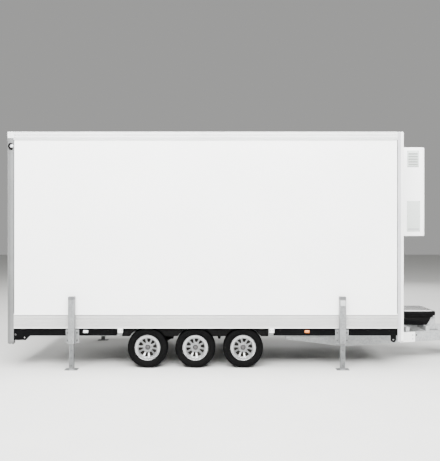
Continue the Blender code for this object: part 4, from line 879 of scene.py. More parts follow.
def boltRows(name, shape, start, finish, body="trailer", columns=1, columnStep=(0, 0, 0), rows=1, rowStep=(0, 0, 0),
        turn=(0, 0, 0), seed=1, slot=None, smooth=32):
    mesh = runTree(gridTree, shape, {"Columns": columns, "Column Step": columnStep, "Rows": rows,
            "Row Step": rowStep, "Start": start, "Turn": turn, "Seed": seed, "Finish": finishes[finish]})
    return finishPiece(name, mesh, finish, body, slot, smooth=smooth)


def tubePiece(name, points, radius, bend, finish, body="trailer", slot=None, sides=12, closed=False):
    mesh = runTree(tubeTree, pathMesh(points, closed), {"Radius": radius, "Bend": bend, "Sides": sides,
            "Finish": finishes[finish]})
    return finishPiece(name, mesh, finish, body, slot, smooth=45)


outward = {-1: "-y", 1: "y"}


# side of the box

boxSizes = {
    "rivetPitch": 0.145, "markerAmber": 3.981, "markerPale": 1.039, "markerHeight": 0.495,
    "brackets": (1.4985, 3.513), "bracketSize": (0.064, 0.061), "handleLow": 1.27, "handleHigh": 1.44,
}


def makeSideTrim():
    railLow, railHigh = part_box("roof_rail_right")
    skirtLow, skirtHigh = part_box("skirt_right")
    for sideName, side in sides.items():
        face = side * sideY
        count = int((frontX - rearX - 0.3) / boxSizes["rivetPitch"])
        for label, height in (("rail", railLow.z + 0.01), ("skirt", skirtHigh.z - 0.012),
                ("lip", skirtLow.z + 0.016)):
            boltRows(f"{label}Rivets_{sideName}", turnedShape(domeRivet(0.0032, 0.0016), outward[side]),
                    (rearX + 0.15, face, height), "trimAluminium" if label == "rail" else "skirtAluminium",
                    columns=count, columnStep=(boxSizes["rivetPitch"], 0, 0), slot="trim")
        # the drip edges of rail and skirt, and thin strips at the skirt's lip and the wall's foot coloured lighter
        # than the skirt as painted highlights of the skirt's bright bands
        for label, height, deep, tall, finishName in (
            ("dripEdge", railLow.z - 0.004, 0.0045, 0.007, "trimAluminium"),
            ("railNose", railHigh.z - 0.006, 0.003, 0.006, "trimAluminium"),
            ("skirtLip", skirtLow.z + 0.004, 0.005, 0.008, "brightAluminiumAndHighlight"),
            ("wallFoot", skirtHigh.z + 0.006, 0.0035, 0.012, "brightAluminiumAndHighlight"),
        ):
            base = side * (sideY - 0.006)
            finishPiece(f"{label}_{sideName}", shapeOf(addBox, (rearX + postDepth, base, height - tall / 2),
                    (frontX - postDepth, face + side * deep, height + tall / 2)), finishName, slot="trim",
                    bevel=0.0015)
        # dark joints above and below the foot of the wall
        for label, height in (("footJoint", skirtHigh.z - 0.003), ("railJoint", railLow.z - 0.0095)):
            finishPiece(f"{label}_{sideName}", shapeOf(addBox, (rearX + postDepth, side * (sideY - 0.006),
                    height - 0.002), (frontX - postDepth, side * (sideY + 0.0008), height + 0.002)), "sealantAndOpeningShade",
                    slot="rubber", bevel=0.0008)
        # pressed lines along the roof rail and the skirt
        for k, height in enumerate((roofZ - 0.0505, roofZ - 0.082, 0.673, 0.604, 0.561)):
            finishPiece(f"pressedLine_{k}_{sideName}", shapeOf(addPrism, [(face - side * 0.002, height - 0.0035),
                    (face + side * 0.0022, height - 0.002), (face + side * 0.0022, height + 0.0005),
                    (face - side * 0.002, height + 0.0035)], "x", rearX + postDepth, frontX - postDepth),
                    "postAluminium", bevel=0.0005)
        # beads of sealant between the wall and its two posts
        for label, along in (("rearBead", rearX + 0.0835), ("frontBead", frontX - 0.0835)):
            finishPiece(f"{label}_{sideName}", shapeOf(addRod, (along, side * (sideY - 0.0035), skirtHigh.z + 0.02),
                    (along, side * (sideY - 0.0035), railLow.z - 0.012), 0.004, 8), "sealantAndOpeningShade", slot="rubber")


def makeFrontPosts():
    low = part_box("front_post_right")[0].z
    for sideName, side in sides.items():
        # a strip along the post's front edge in a lighter finish: a painted highlight for the post's lit face
        finishPiece(f"frontPostStrip_{sideName}", shapeOf(addBox, (frontX - 0.036, side * (sideY - 0.004),
                low + 0.012), (frontX - 0.002, side * (sideY + 0.002), roofZ - 0.006)), "brightAluminiumAndHighlight", slot="post",
                bevel=0.001)
    # jointing strips across the roof, with their rivets
    top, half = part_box("roof_panel")[1].z, sideY - 0.11
    step = (frontX - rearX - 0.5) / 3
    strip = shapeOf(addPrism, [(-0.03, -0.001), (0.03, -0.001), (0.026, 0.0026), (-0.026, 0.0026)], "y", -half,
            half)
    boltRows("roofStrips", strip, (rearX + 0.25, 0, top), "brightAluminiumAndHighlight", columns=4, columnStep=(step, 0, 0))
    for end in (-0.017, 0.017):
        boltRows("roofRivets_" + ("front" if end > 0 else "rear"), domeRivet(0.0045, 0.0022),
                (rearX + 0.25 + end, 0.03 - half, top + 0.0026), "trimAluminium", columns=4,
                columnStep=(step, 0, 0), rows=17, rowStep=(0, (half - 0.03) / 8, 0))


def makeMarkers():
    for sideName, side in sides.items():
        face = side * (sideY - 0.003)
        for label, along, lens in (("amber", boxSizes["markerAmber"], "lensAmber"),
                ("pale", boxSizes["markerPale"], "lensClear")):
            x, z = rearX + along, boxSizes["markerHeight"]
            outline = roundedOutline((x - 0.0375, z - 0.023), (x + 0.0375, z + 0.023), 0.008)
            low, high = sorted((face, face + side * 0.012))
            finishPiece(f"markerBase_{label}_{sideName}", shapeOf(addPrism, outline, "y", low, high),
                    "blackMoulding", bevel=0.002)
            inner = roundedOutline((x - 0.0325, z - 0.018), (x + 0.0325, z + 0.018), 0.006)
            crown = roundedOutline((x - 0.028, z - 0.0135), (x + 0.028, z + 0.0135), 0.005)
            finishPiece(f"markerLens_{label}_{sideName}", shapeOf(addRings,
                    [[(a, face + side * deep, b) for a, b in ring] for ring, deep in ((inner, 0.01), (inner, 0.015),
                    (crown, 0.02))]), lens, bevel=0.0015, slot="")
        for i, along in enumerate(boxSizes["brackets"]):
            wide, tall = boxSizes["bracketSize"]
            x, top = rearX + along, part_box("skirt_right")[0].z
            low, high = sorted((face - side * 0.03, face + side * 0.007))
            finishPiece(f"railBracket_{i}_{sideName}", shapeOf(addBox, (x - wide / 2, low, top - tall),
                    (x + wide / 2, high, top - 0.0005)), "brightAluminiumAndHighlight", slot="galvanised", bevel=0.004)
            boltRows(f"railBracketBolts_{i}_{sideName}", turnedShape(hexBolt(0.0065, 0.006), outward[side]),
                    (x - 0.017, face + side * 0.007, top - tall / 2), "boltSteel", columns=2,
                    columnStep=(0.034, 0, 0), turn=(0, 1.0, 0), seed=i + 3)
        # outline lamp on its rubber arm, high on the rear post
        x, z, y = rearX + 0.034, roofZ - 0.19, side * sideY
        outline = [(x - 0.026, z - 0.016), (x - 0.014, z - 0.04), (x + 0.012, z - 0.052), (x + 0.038, z - 0.044),
                (x + 0.03, z - 0.02), (x + 0.03, z + 0.014), (x + 0.034, z + 0.034), (x + 0.01, z + 0.042),
                (x - 0.016, z + 0.032), (x - 0.027, z + 0.01)]
        low, high = sorted((y - side * 0.002, y + side * 0.014))
        finishPiece(f"outlineLampArm_{sideName}", shapeOf(addPrism, outline, "y", low, high), "rubber", bevel=0.004)
        finishPiece(f"outlineLampLens_{sideName}", shapeOf(addTurned, [(0, 0.0), (0.021, 0.0), (0.0215, 0.006),
                (0.018, 0.013), (0.009, 0.0165), (0, 0.0175)], 20, placeOf((x + 0.024, y + side * 0.01, z - 0.003),
                outward[side])), "lensClear")


def makeHandles():
    low, high = boxSizes["handleLow"], boxSizes["handleHigh"]
    for sideName, side in sides.items():
        y, x = side * (innerY - 0.075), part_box("front_wall")[1].x
        tubePiece(f"grabHandle_{sideName}", [(x - 0.002, y, low + 0.018), (x + 0.036, y, low + 0.018),
                (x + 0.036, y, high - 0.018), (x - 0.002, y, high - 0.018)], 0.008, 0.022, "blackMoulding")
        for i, z in enumerate((low + 0.018, high - 0.018)):
            finishPiece(f"handleFoot_{i}_{sideName}", shapeOf(addPrism, roundedOutline((y - 0.016, z - 0.022),
                    (y + 0.016, z + 0.022), 0.01), "x", x - 0.001, x + 0.006), "blackMoulding", bevel=0.002)


# rear doors

doorSizes = {"sealWidth": 0.016, "barPlaces": (0.22, 0.72), "handleHeight": 1.42}


def makeDoors():
    for sideName, side in sides.items():
        body = f"rear_door_{sideName}"
        low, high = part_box(f"rear_door_{sideName}")
        near, far = sorted((abs(low.y), abs(high.y)))
        outer = rearX + 0.045
        # rubber seal round the door's outer face
        shape = bmesh.new()
        inset = 0.006
        yEdges = (side * (near + 0.004), side * (far - 0.014))
        zEdges = (low.z + inset, high.z - inset)
        ring = [(yEdges[0], zEdges[0]), (yEdges[1], zEdges[0]), (yEdges[1], zEdges[1]), (yEdges[0], zEdges[1])]
        for i in range(4):
            (y1, z1), (y2, z2) = ring[i], ring[(i + 1) % 4]
            yLow, yHigh = sorted((y1, y2))
            zLow, zHigh = sorted((z1, z2))
            wide = doorSizes["sealWidth"] / 2
            yLow, yHigh = (yLow - wide, yHigh + wide) if yLow == yHigh else (yLow + wide, yHigh - wide)
            zLow, zHigh = (zLow, zHigh) if zHigh - zLow > 1 else (zLow - wide * 0.2, zHigh + wide * 0.8)
            addBox(shape, (outer - 0.005, yLow, zLow), (outer + 0.006, yHigh, zHigh))
        finishPiece(f"doorSeal_{sideName}", shape, "rubber", body, bevel=0.002)
        # pressed panel in the door face
        shape = bmesh.new()
        yLow, yHigh = sorted((side * (near + 0.075), side * (far - 0.095)))
        addPrism(shape, roundedOutline((yLow, low.z + 0.1), (yHigh, high.z - 0.1), 0.03), "x", outer - 0.0025,
                outer + 0.002)
        finishPiece(f"doorPanel_{sideName}", shape, "whitePanel", body, bevel=0.002)
        finishPiece(f"doorLining_{sideName}", shapeOf(addPrism, roundedOutline((yLow, low.z + 0.1), (yHigh,
                high.z - 0.1), 0.03), "x", high.x - 0.002, high.x + 0.0016), "innerLining", body, bevel=0.0012)
        for i, place in enumerate(doorSizes["barPlaces"]):
            y = side * (near + (far - near) * place)
            x = rearX + 0.02
            z = doorSizes["handleHeight"]
            # handle, hub and catch
            finishPiece(f"barHub_{i}_{sideName}", shapeOf(addTurned, [(0.0138, -0.04), (0.019, -0.04), (0.019,
                    0.04), (0.0138, 0.04)], 16, placeOf((x, y, z), "z"), True), "zincBright", body, bevel=0.002)
            reach = side * (0.15 if i else 0.16)
            tubePiece(f"barHandle_{i}_{sideName}", [(x + 0.002, y, z), (x + 0.002, y + reach * 0.3, z),
                    (x - 0.004, y + reach * 0.6, z - 0.02), (x - 0.004, y + reach, z - 0.02)], 0.0075, 0.03,
                    "zincBright", body)
            finishPiece(f"barGrip_{i}_{sideName}", shapeOf(addRod, (x - 0.004, y + reach * 0.62, z - 0.02),
                    (x - 0.004, y + reach * 1.02, z - 0.02), 0.0105, 14, 0.003), "rubber", body)
            shape = shapeOf(addPrism, roundedOutline((y + reach * 0.55 - 0.02, z - 0.055),
                    (y + reach * 0.55 + 0.02, z + 0.015), 0.008), "x", outer - 0.01, outer + 0.001)
            addBox(shape, (outer - 0.018, y + reach * 0.55 - 0.008, z - 0.04),
                    (outer - 0.008, y + reach * 0.55 + 0.008, z - 0.028))
            finishPiece(f"barCatch_{i}_{sideName}", shape, "zincBright", body, bevel=0.002)
            finishPiece(f"barSleeve_{i}_{sideName}", shapeOf(addRod, (x, y, low.z + 0.001), (x, y, high.z - 0.001),
                    0.0141, 18, 0.002), "zincBright", body)
            # cams at the ends of each bar
            for end, height, lift in (("low", low.z + 0.012, 1), ("high", high.z - 0.012, -1)):
                cam = [(x - 0.01, y - 0.016), (x + 0.014, y - 0.016), (x + 0.014, y + 0.016), (x - 0.01, y + 0.016)]
                finishPiece(f"barCam_{end}_{i}_{sideName}", shapeOf(addPrism, cam, "z",
                        *sorted((height, height + lift * 0.022))), "zinc", body, bevel=0.004)
            for k, height in enumerate((low.z + 0.16, z - 0.3, z + 0.5, high.z - 0.28)):
                shape = shapeOf(addBox, (outer - 0.006, y - 0.026, height - 0.022),
                        (outer + 0.001, y + 0.026, height + 0.022))
                addTurned(shape, [(0.014, -0.016), (0.0185, -0.016), (0.0185, 0.016), (0.014, 0.016)], 14,
                        placeOf((x, y, height), "z"), True)
                addBox(shape, (x + 0.01, y - 0.01, height - 0.014), (outer - 0.004, y + 0.01, height + 0.014))
                finishPiece(f"barGuide_{k}_{i}_{sideName}", shape, "zincBright", body, bevel=0.0015)
                boltRows(f"guideBolts_{k}_{i}_{sideName}", turnedShape(hexBolt(0.0048, 0.0045), "-x"),
                        (outer - 0.006, y - 0.0205, height - 0.012), "boltSteel", body, columns=2,
                        columnStep=(0, 0.041, 0), rows=2, rowStep=(0, 0, 0.024), turn=(1.0, 0, 0), seed=k + 1)
        # the hinge leaves' bolts
        for k in range(3):
            height = 0.711 + 0.2 + (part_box("roof_rail_right")[0].z - 0.2 - 0.911) * k / 2
            y = side * (far - 0.06)
            yLow, yHigh = sorted((side * (far - 0.115), side * (far - 0.012)))
            finishPiece(f"hingeLeaf_{k}_{sideName}", shapeOf(addPrism, roundedOutline((yLow, height - 0.034),
                    (yHigh, height + 0.034), 0.012), "x", outer - 0.0055, outer + 0.001), "zincBright", body,
                    bevel=0.0015)
            boltRows(f"hingeBolts_{k}_{sideName}", turnedShape(hexBolt(0.0055, 0.005), "-x"),
                    (outer - 0.0055, y - 0.028, height - 0.018), "boltSteel", body, columns=3,
                    columnStep=(0, 0.028, 0), rows=2, rowStep=(0, 0, 0.036), turn=(1.0, 0, 0), seed=k + 9)


def makeRearFrame():
    # keepers for the bars on the sill and header, on the frame's outer face
    for sideName, side in sides.items():
        low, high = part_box(f"rear_door_{sideName}")
        near, far = sorted((abs(low.y), abs(high.y)))
        for i, place in enumerate(doorSizes["barPlaces"]):
            y = side * (near + (far - near) * place)
            for end, z in (("low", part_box("rear_frame")[0].z + 0.33),
                    ("high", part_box("roof_rail_right")[0].z + 0.03)):
                shape = shapeOf(addPrism, roundedOutline((y - 0.045, z - 0.022), (y + 0.045, z + 0.022), 0.008),
                        "x", rearX - 0.006, rearX + 0.001)
                for edge in (-1, 1):
                    addBox(shape, (rearX - 0.014, y + edge * 0.034 - 0.006, z - 0.016),
                            (rearX - 0.005, y + edge * 0.034 + 0.006, z + 0.016))
                finishPiece(f"barKeeper_{end}_{i}_{sideName}", shape, "zincBright", bevel=0.002)
                boltRows(f"keeperBolts_{end}_{i}_{sideName}", turnedShape(hexBolt(0.0045, 0.004), "-x"),
                        (rearX - 0.006, y - 0.014, z), "boltSteel", columns=2, columnStep=(0, 0.028, 0),
                        turn=(1.0, 0, 0), seed=i + 2)
        # light cap over the top of the post, and the raised strip down its outer face in a lighter copy of the post's
        # finish, a painted highlight for the post's lit half
        low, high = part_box("rear_frame")
        for label, start, end, bottom, top, finishName in (("Cap", 0.0, 0.082, roofZ - 0.084, roofZ - 0.001,
                "trimAluminium"), ("Strip", 0.038, 0.0795, low.z + 0.03, roofZ - 0.088, "rearPostLitFace")):
            finishPiece(f"post{label}_{sideName}", shapeOf(addBox, (rearX + start, side * (sideY - 0.004), bottom),
                    (rearX + end, side * (sideY + 0.002), top)), finishName, slot="post", bevel=0.001)
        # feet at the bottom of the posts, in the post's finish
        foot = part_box("rear_frame")[0].z
        shape = bmesh.new()
        for x in (rearX + 0.02, rearX + 0.06):
            addRod(shape, (x, side * (sideY - 0.032), foot + 0.03), (x, side * (sideY - 0.032), foot - 0.012),
                    0.0165, 16, 0.006)
        finishPiece(f"postBuffers_{sideName}", shape, "rearPost")


def makeRearLamps():
    low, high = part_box("light_bar")
    middle = (low.z + high.z) / 2
    face = low.x
    for sideName, side in sides.items():
        y = side * (innerY - 0.24)
        finishPiece(f"tailLampHousing_{sideName}", shapeOf(addPrism, roundedOutline((y - 0.165, middle - 0.055),
                (y + 0.165, middle + 0.055), 0.014), "x", face - 0.024, face + 0.001), "blackMoulding", bevel=0.004)
        for i, (label, start, end) in enumerate((("lensAmber", 0.052, 0.155), ("lensRed", -0.155, 0.048))):
            a, b = sorted((y + side * start, y + side * end))
            shape = bmesh.new()
            rings = []
            for grow, deep in ((0.0, 0.022), (0.0, 0.03), (0.01, 0.036)):
                outline = roundedOutline((a + grow, middle - 0.046 + grow), (b - grow, middle + 0.046 - grow), 0.01)
                rings.append([(face - deep, p, q) for p, q in outline])
            addRings(shape, rings)
            finishPiece(f"tailLens_{i}_{sideName}", shape, label, bevel=0.0015, slot="")
        y = side * (innerY - 0.52)
        corners = [(y - 0.075, middle - 0.05), (y + 0.075, middle - 0.05), (y, middle + 0.056)]
        finishPiece(f"rearReflector_{sideName}", shapeOf(addPrism, corners, "x", face - 0.008, face + 0.001),
                "lensRed", bevel=0.004)
    finishPiece("plateHolder", shapeOf(addPrism, roundedOutline((-0.27, middle - 0.062), (0.27, middle + 0.062),
            0.01), "x", face - 0.004, face + 0.001), "blackMoulding", bevel=0.0015)
    finishPiece("blankPlate", shapeOf(addPrism, roundedOutline((-0.258, middle - 0.052), (0.258, middle + 0.052),
            0.008), "x", face - 0.0062, face - 0.003), "whitePlastic", bevel=0.001)
    for i, y in enumerate((-0.12, 0.12)):
        finishPiece(f"plateLamp_{i}", shapeOf(addPrism, [(face - 0.03, high.z - 0.002),
                (face + 0.001, high.z - 0.002), (face + 0.001, high.z - 0.03), (face - 0.03, high.z - 0.014)], "y",
                y - 0.03, y + 0.03), "blackMoulding", bevel=0.003)


# load space

loadSizes = {
    "ribPitch": 0.06, "ribWidth": 0.01, "ribHeight": 0.0022, "trackHeights": (1.25, 2.05), "coving": 0.035,
    "slotPitch": 0.05,
}


def makeLoadSpace():
    start, end = rearX + 0.125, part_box("front_wall")[0].x - 0.012
    half = innerY - 0.04
    rib = bmesh.new()
    height = loadSizes["ribHeight"]
    wide = loadSizes["ribWidth"] / 2
    addPrism(rib, [(-wide, -0.001), (wide, -0.001), (wide * 0.6, height), (-wide * 0.6, height)], "y", -half, half)
    boltRows("deckRibs", rib, (start + 0.03, 0, deckZ), "loadDeck",
            columns=int((end - start - 0.06) / loadSizes["ribPitch"]) + 1, columnStep=(loadSizes["ribPitch"], 0, 0))
    size = loadSizes["coving"]
    for sideName, side in sides.items():
        inner = side * (innerY - 0.0004)
        finishPiece(f"coving_{sideName}", shapeOf(addPrism, [(inner, deckZ + 0.0004), (inner - side * size,
                deckZ + 0.0004), (inner - side * size * 0.42, deckZ + size * 0.42), (inner, deckZ + size)], "x",
                start - 0.02, end), "innerLining", bevel=0.003)
        finishPiece(f"kickPlate_{sideName}", shapeOf(addBox, (start, inner - side * 0.004, deckZ + 0.05),
                (end, inner, deckZ + 0.3)), "trimAluminium", bevel=0.001)
        for k, z in enumerate(loadSizes["trackHeights"]):
            outline = [(inner, z - 0.03), (inner - side * 0.004, z - 0.03), (inner - side * 0.012, z - 0.014),
                    (inner - side * 0.012, z + 0.014), (inner - side * 0.004, z + 0.03), (inner, z + 0.03)]
            finishPiece(f"lashTrack_{k}_{sideName}", shapeOf(addPrism, outline, "x", start + 0.05, end - 0.05),
                    "trimAluminium", bevel=0.001)
            # the track's slots are thin dark plates: painted shade in place of open slots
            slotShape = shapeOf(addPrism, roundedOutline((-0.013, -0.0075), (0.013, 0.0075), 0.007, 3), "y",
                    -0.0008, 0.0008)
            boltRows(f"trackSlots_{k}_{sideName}", slotShape, (start + 0.1, inner - side * 0.0122, z), "sealantAndOpeningShade",
                    columns=int((end - start - 0.2) / loadSizes["slotPitch"]), columnStep=(loadSizes["slotPitch"],
                    0, 0))
    # strip lamp on the ceiling and the evaporator on the front wall
    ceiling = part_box("roof_panel")[0].z
    finishPiece("ceilingLamp", shapeOf(addPrism, [(-0.035, ceiling), (-0.028, ceiling - 0.022),
            (0.028, ceiling - 0.022), (0.035, ceiling)], "x", -1.45, -0.2), "lensClear", bevel=0.003)
    x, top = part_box("front_wall")[0].x, ceiling - 0.05
    side = [(x, top), (x, top - 0.42), (x - 0.1, top - 0.44), (x - 0.28, top - 0.3), (x - 0.28, top - 0.04),
            (x - 0.25, top)]
    finishPiece("evaporator", shapeOf(addPrism, side, "y", -0.48, 0.48), "whitePlastic", slot="panel", bevel=0.008)
    for i, y in enumerate((-0.24, 0.24)):
        finishPiece(f"evaporatorRing_{i}", shapeOf(addTurned, [(0.098, -0.001), (0.11, -0.001), (0.11, 0.008),
                (0.104, 0.012), (0.098, 0.008)], 32, placeOf((x - 0.28, y, top - 0.17), "-x"), True),
                "blackMoulding")
        meshes = []
        for radius in (0.03, 0.053, 0.076, 0.098):
            points = [(x - 0.288, y + radius * math.cos(a),
                    top - 0.17 + radius * math.sin(a)) for a in [2 * math.pi * n / 28 for n in range(28)]]
            meshes.append(runTree(tubeTree, pathMesh(points, True), {"Radius": 0.0014, "Bend": 0.0, "Sides": 5,
                    "Finish": finishes["zincBright"]}))
        finishPiece(f"evaporatorGuard_{i}", mergedMesh(meshes), "zincBright", smooth=60)
        # the fan well is a thin dark disc: painted shade inside the fan's opening
        finishPiece(f"evaporatorFanWell_{i}", shapeOf(addTurned, [(0, 0.0005), (0.097, 0.0005), (0.097, 0.002), (0,
                0.002)], 28, placeOf((x - 0.28, y, top - 0.17), "-x")), "sealantAndOpeningShade")
        blade = shapeOf(addPrism, [(0.012, -0.012), (0.088, -0.03), (0.092, 0.01), (0.012, 0.012)], "z", -0.0008,
                0.0008)
        bmesh.ops.transform(blade, matrix=Matrix.Rotation(0.3, 4, "X"), verts=blade.verts)
        mesh = runTree(ringTree, blade, {"Count": 6, "Radius": 0.0, "Height": 0.0,
                "Finish": finishes["blackMoulding"]})
        mesh.transform(placeOf((x - 0.2795 - 0.006, y, top - 0.17),
                "-x") @ Matrix.Translation((0, 0, -0.0005)) @ Matrix.Diagonal((1, 1, 0.16, 1)))
        finishPiece(f"evaporatorFan_{i}", mesh, "blackMoulding")


# stands, drawbar and coupling

standSizes = {
    "cap": 0.034, "boltSpread": 0.064, "holePitch": 0.1, "beamAngle": math.radians(19.0), "beamBend": 1.0742,
    "beamStart": 0.83, "beamHalf": 0.03, "ringRadius": 0.017,
}


def makeStands():
    for end in ("rear", "front"):
        for sideName, side in sides.items():
            low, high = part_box(f"stand_tube_{end}_{sideName}")
            legLow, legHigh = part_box(f"stand_leg_{end}_{sideName}")
            x, y = (low.x + high.x) / 2, (legLow.y + legHigh.y) / 2
            face = side * max(abs(low.y), abs(high.y))
            body = f"stand_leg_{end}_{sideName}"
            cup = [boxOutline((x - half, y - half), (x + half, y + half), 0.004, high.z + rise) for half,
                    rise in ((0.0402, 0.0005), (0.0402, -standSizes["cap"]), (0.0418, -standSizes["cap"]),
                    (0.0418, 0.004))]
            finishPiece(f"standCap_{end}_{sideName}", shapeOf(addRings, cup), "greyMoulding", bevel=0.0025)
            plate = side * (sideY + 0.0122)
            boltRows(f"standBolts_{end}_{sideName}", turnedShape(hexBolt(0.0085, 0.008), outward[side]),
                    (x - standSizes["boltSpread"], plate, low.z + 0.036), "darkBolt", columns=2,
                    columnStep=(standSizes["boltSpread"] * 2, 0, 0), rows=2, rowStep=(0, 0, 0.1), turn=(0, 1.0, 0),
                    seed=len(body))
            # locking pin through the foot of the tube, with its ring
            z = low.z + 0.045
            pin = face + side * 0.02
            shape = shapeOf(addRod, (x, face - side * 0.004, z), (x, pin, z), 0.0065, 14, 0.002)
            addTurned(shape, [(0.0065, 0), (0.012, 0), (0.012, 0.004), (0.0065, 0.004)], 16,
                    placeOf((x, face, z), outward[side]), True)
            finishPiece(f"standPin_{end}_{sideName}", shape, "zincBright")
            ring = [(x + standSizes["ringRadius"] * math.sin(a), face + side * 0.016,
                    z - 0.019 + standSizes["ringRadius"] * math.cos(a)) for a in [math.pi * n / 9 for n in range(18)]]
            tubePiece(f"pinRing_{end}_{sideName}", ring, 0.0018, 0.0, "zincBright", sides=6, closed=True)
            # the leg's holes are thin dark discs: painted shade in place of open holes
            hole = shapeOf(addTurned, [(0, 0.0), (0.007, 0.0), (0.007, 0.0004), (0, 0.0004)], 14,
                    placeOf((0, 0, 0), outward[side]))
            boltRows(f"legHoles_{end}_{sideName}", hole, (x, side * (abs(y) + 0.0301), 0.055), "sealantAndOpeningShade", body,
                    rows=3, rowStep=(0, 0, standSizes["holePitch"]), slot="galvanised")
            if end == "front":
                finishPiece(f"blankLabel_{sideName}", shapeOf(addPrism, roundedOutline((x - 0.032, high.z - 0.115),
                        (x + 0.032, high.z - 0.045), 0.004), "y", *sorted((face - side * 0.0005,
                        face + side * 0.0008))), "greyLabel")
            # weld beads where the foot plate meets the leg
            foot = [(x - 0.031, y - 0.031), (x + 0.031, y - 0.031), (x + 0.031, y + 0.031), (x - 0.031, y + 0.031)]
            tubePiece(f"footWeld_{end}_{sideName}", [(a, b, 0.0095) for a, b in foot], 0.003, 0.004, "zinc", body,
                    "galvanised", 8, True)


def beamMatrix(side, x, height):
    angle = standSizes["beamAngle"]
    y = side * (standSizes["beamStart"] - (x - standSizes["beamBend"]) * math.tan(angle))
    along = Vector((math.cos(angle), -side * math.sin(angle), 0))
    out = Vector((math.sin(angle), side * math.cos(angle), 0))
    start = Vector((x, y, height)) + out * standSizes["beamHalf"]
    return Matrix(((along.x, out.x, 0, start.x), (along.y, out.y, 0, start.y), (0, 0, 1, start.z), (0, 0, 0, 1)))


def makeDrawbar():
    low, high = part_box("drawbar_plate")
    middle = (low.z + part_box("drawbar_beam_right")[0].z) / 2
    for sideName, side in sides.items():
        shape = shapeOf(addPrism, roundedOutline((0.0, -0.07), (0.252, 0.07), 0.006), "y", -0.001, 0.005)
        bmesh.ops.transform(shape, matrix=beamMatrix(side, frontX + 0.092, middle), verts=shape.verts)
        finishPiece(f"beamDoubler_{sideName}", shape, "whitePlate", bevel=0.0015)
        for i, (x, z) in enumerate(((frontX + 0.352, 0.024), (frontX + 0.292, 0.026), (frontX + 0.292, -0.028),
                (frontX + 0.9, 0.0), (frontX + 1.06, 0.0))):
            shape = hexBolt(0.0095, 0.008)
            bmesh.ops.transform(shape, matrix=Matrix.Rotation(-math.pi / 2, 4, "X"), verts=shape.verts)
            bmesh.ops.transform(shape, matrix=beamMatrix(side, x, middle + z), verts=shape.verts)
            finishPiece(f"beamBolt_{i}_{sideName}", shape, "zinc" if i in (1, 2) else "darkBolt", slot="galvanised")
        # weld bead along the carrier's foot
        shape = shapeOf(addRod, (-0.1, -0.001, 0.0705), (0.62, -0.001, 0.0705), 0.0022, 8)
        bmesh.ops.transform(shape, matrix=beamMatrix(side, frontX + 0.12, middle), verts=shape.verts)
        finishPiece(f"beamWeld_{sideName}", shape, "zinc")
    boltRows("plateBolts", hexBolt(0.01, 0.009), (low.x + 0.3, -0.085, high.z - 0.0003), "zincBright", columns=3,
            columnStep=(0.085, 0, 0), rows=2, rowStep=(0, 0.17, 0), turn=(0, 0, 1.0), seed=4)


def makeCoupling():
    low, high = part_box("overrun_coupling")
    nose, middle = high.x, low.z + 0.05
    back = low.x
    end = back + 0.42
    half = 0.0545
    shape = shapeOf(addPrism, [(back + 0.002, low.z + 0.0005), (end, low.z + 0.0005), (end, middle + 0.036),
            (end - 0.05, middle + 0.047), (back + 0.1, middle + 0.047), (back + 0.002, middle + 0.01)], "y",
            -half * 0.72, half * 0.72)
    for x in (back + 0.03, back + 0.11, back + 0.19, end - 0.09, end - 0.012):
        addPrism(shape, [(-half, low.z + 0.0008), (half, low.z + 0.0008), (half * 0.94, middle + 0.03),
                (half * 0.6, middle + 0.05), (-half * 0.6, middle + 0.05), (-half * 0.94, middle + 0.03)], "x",
                x - 0.006, x + 0.006)
    addBox(shape, (back + 0.002, -half, low.z + 0.0005), (end, half, low.z + 0.012))
    addRod(shape, (end - 0.004, 0, middle), (end + 0.022, 0, middle), 0.04, 32, 0.004)
    finishPiece("couplingHousing", shape, "castIron", bevel=0.0022, stands=("overrun_coupling",))
    boltRows("housingBolts", hexBolt(0.0095, 0.01), (back + 0.07, -0.047, low.z + 0.0118), "zincBright", columns=4,
            columnStep=(0.08, 0, 0), rows=2, rowStep=(0, 0.094, 0), turn=(0, 0, 1.0), seed=6)
    mesh = runTree(bellowsTree, pathMesh([(0, 0, 0), (0.01, 0, 0)]),
            {"Start": (end + 0.02, 0, middle), "End": (nose - 0.148, 0, middle), "Pleats": 5, "Valley": 0.0275,
            "Depth": 0.0045, "Finish": finishes["rubber"]})
    finishPiece("couplingBellows", mesh, "rubber", smooth=60)
    # ball head: a closed pressing with a rounded nose
    size = nose - 0.14
    rings = []
    for grow, deep in ((0.0, -0.036), (0.0, 0.006), (0.006, 0.02), (0.016, 0.03), (0.03, 0.036)):
        outline = [(size, -0.034), (size + 0.045, -0.044), (size + 0.095, -0.044), (size + 0.126, -0.034),
                (nose, -0.012), (nose, 0.012), (size + 0.126, 0.034), (size + 0.095, 0.044), (size + 0.045, 0.044),
                (size, 0.034)]
        centre = size + 0.07
        rings.append([(centre + (a - centre) * (1 - grow / 0.07), b * (1 - grow / 0.048), middle + deep) for a,
                b in outline])
    finishPiece("couplingHead", shapeOf(addRings, rings), "castIron", bevel=0.003)
    finishPiece("drawTube", shapeOf(addRod, (size - 0.03, 0, middle), (size + 0.01, 0, middle), 0.0255, 28, 0.003),
            "zincBright")
    tubePiece("couplingHandle", [(size + 0.035, 0, middle + 0.034), (size - 0.002, 0, middle + 0.052),
            (size - 0.04, 0, middle + 0.056), (size - 0.062, 0, middle + 0.05)], 0.006, 0.03, "zincBright")
    finishPiece("couplingGrip", shapeOf(addRod, (size - 0.01, 0, middle + 0.0545), (size - 0.064, 0, middle + 0.05),
            0.0095, 16, 0.004), "blackMoulding")


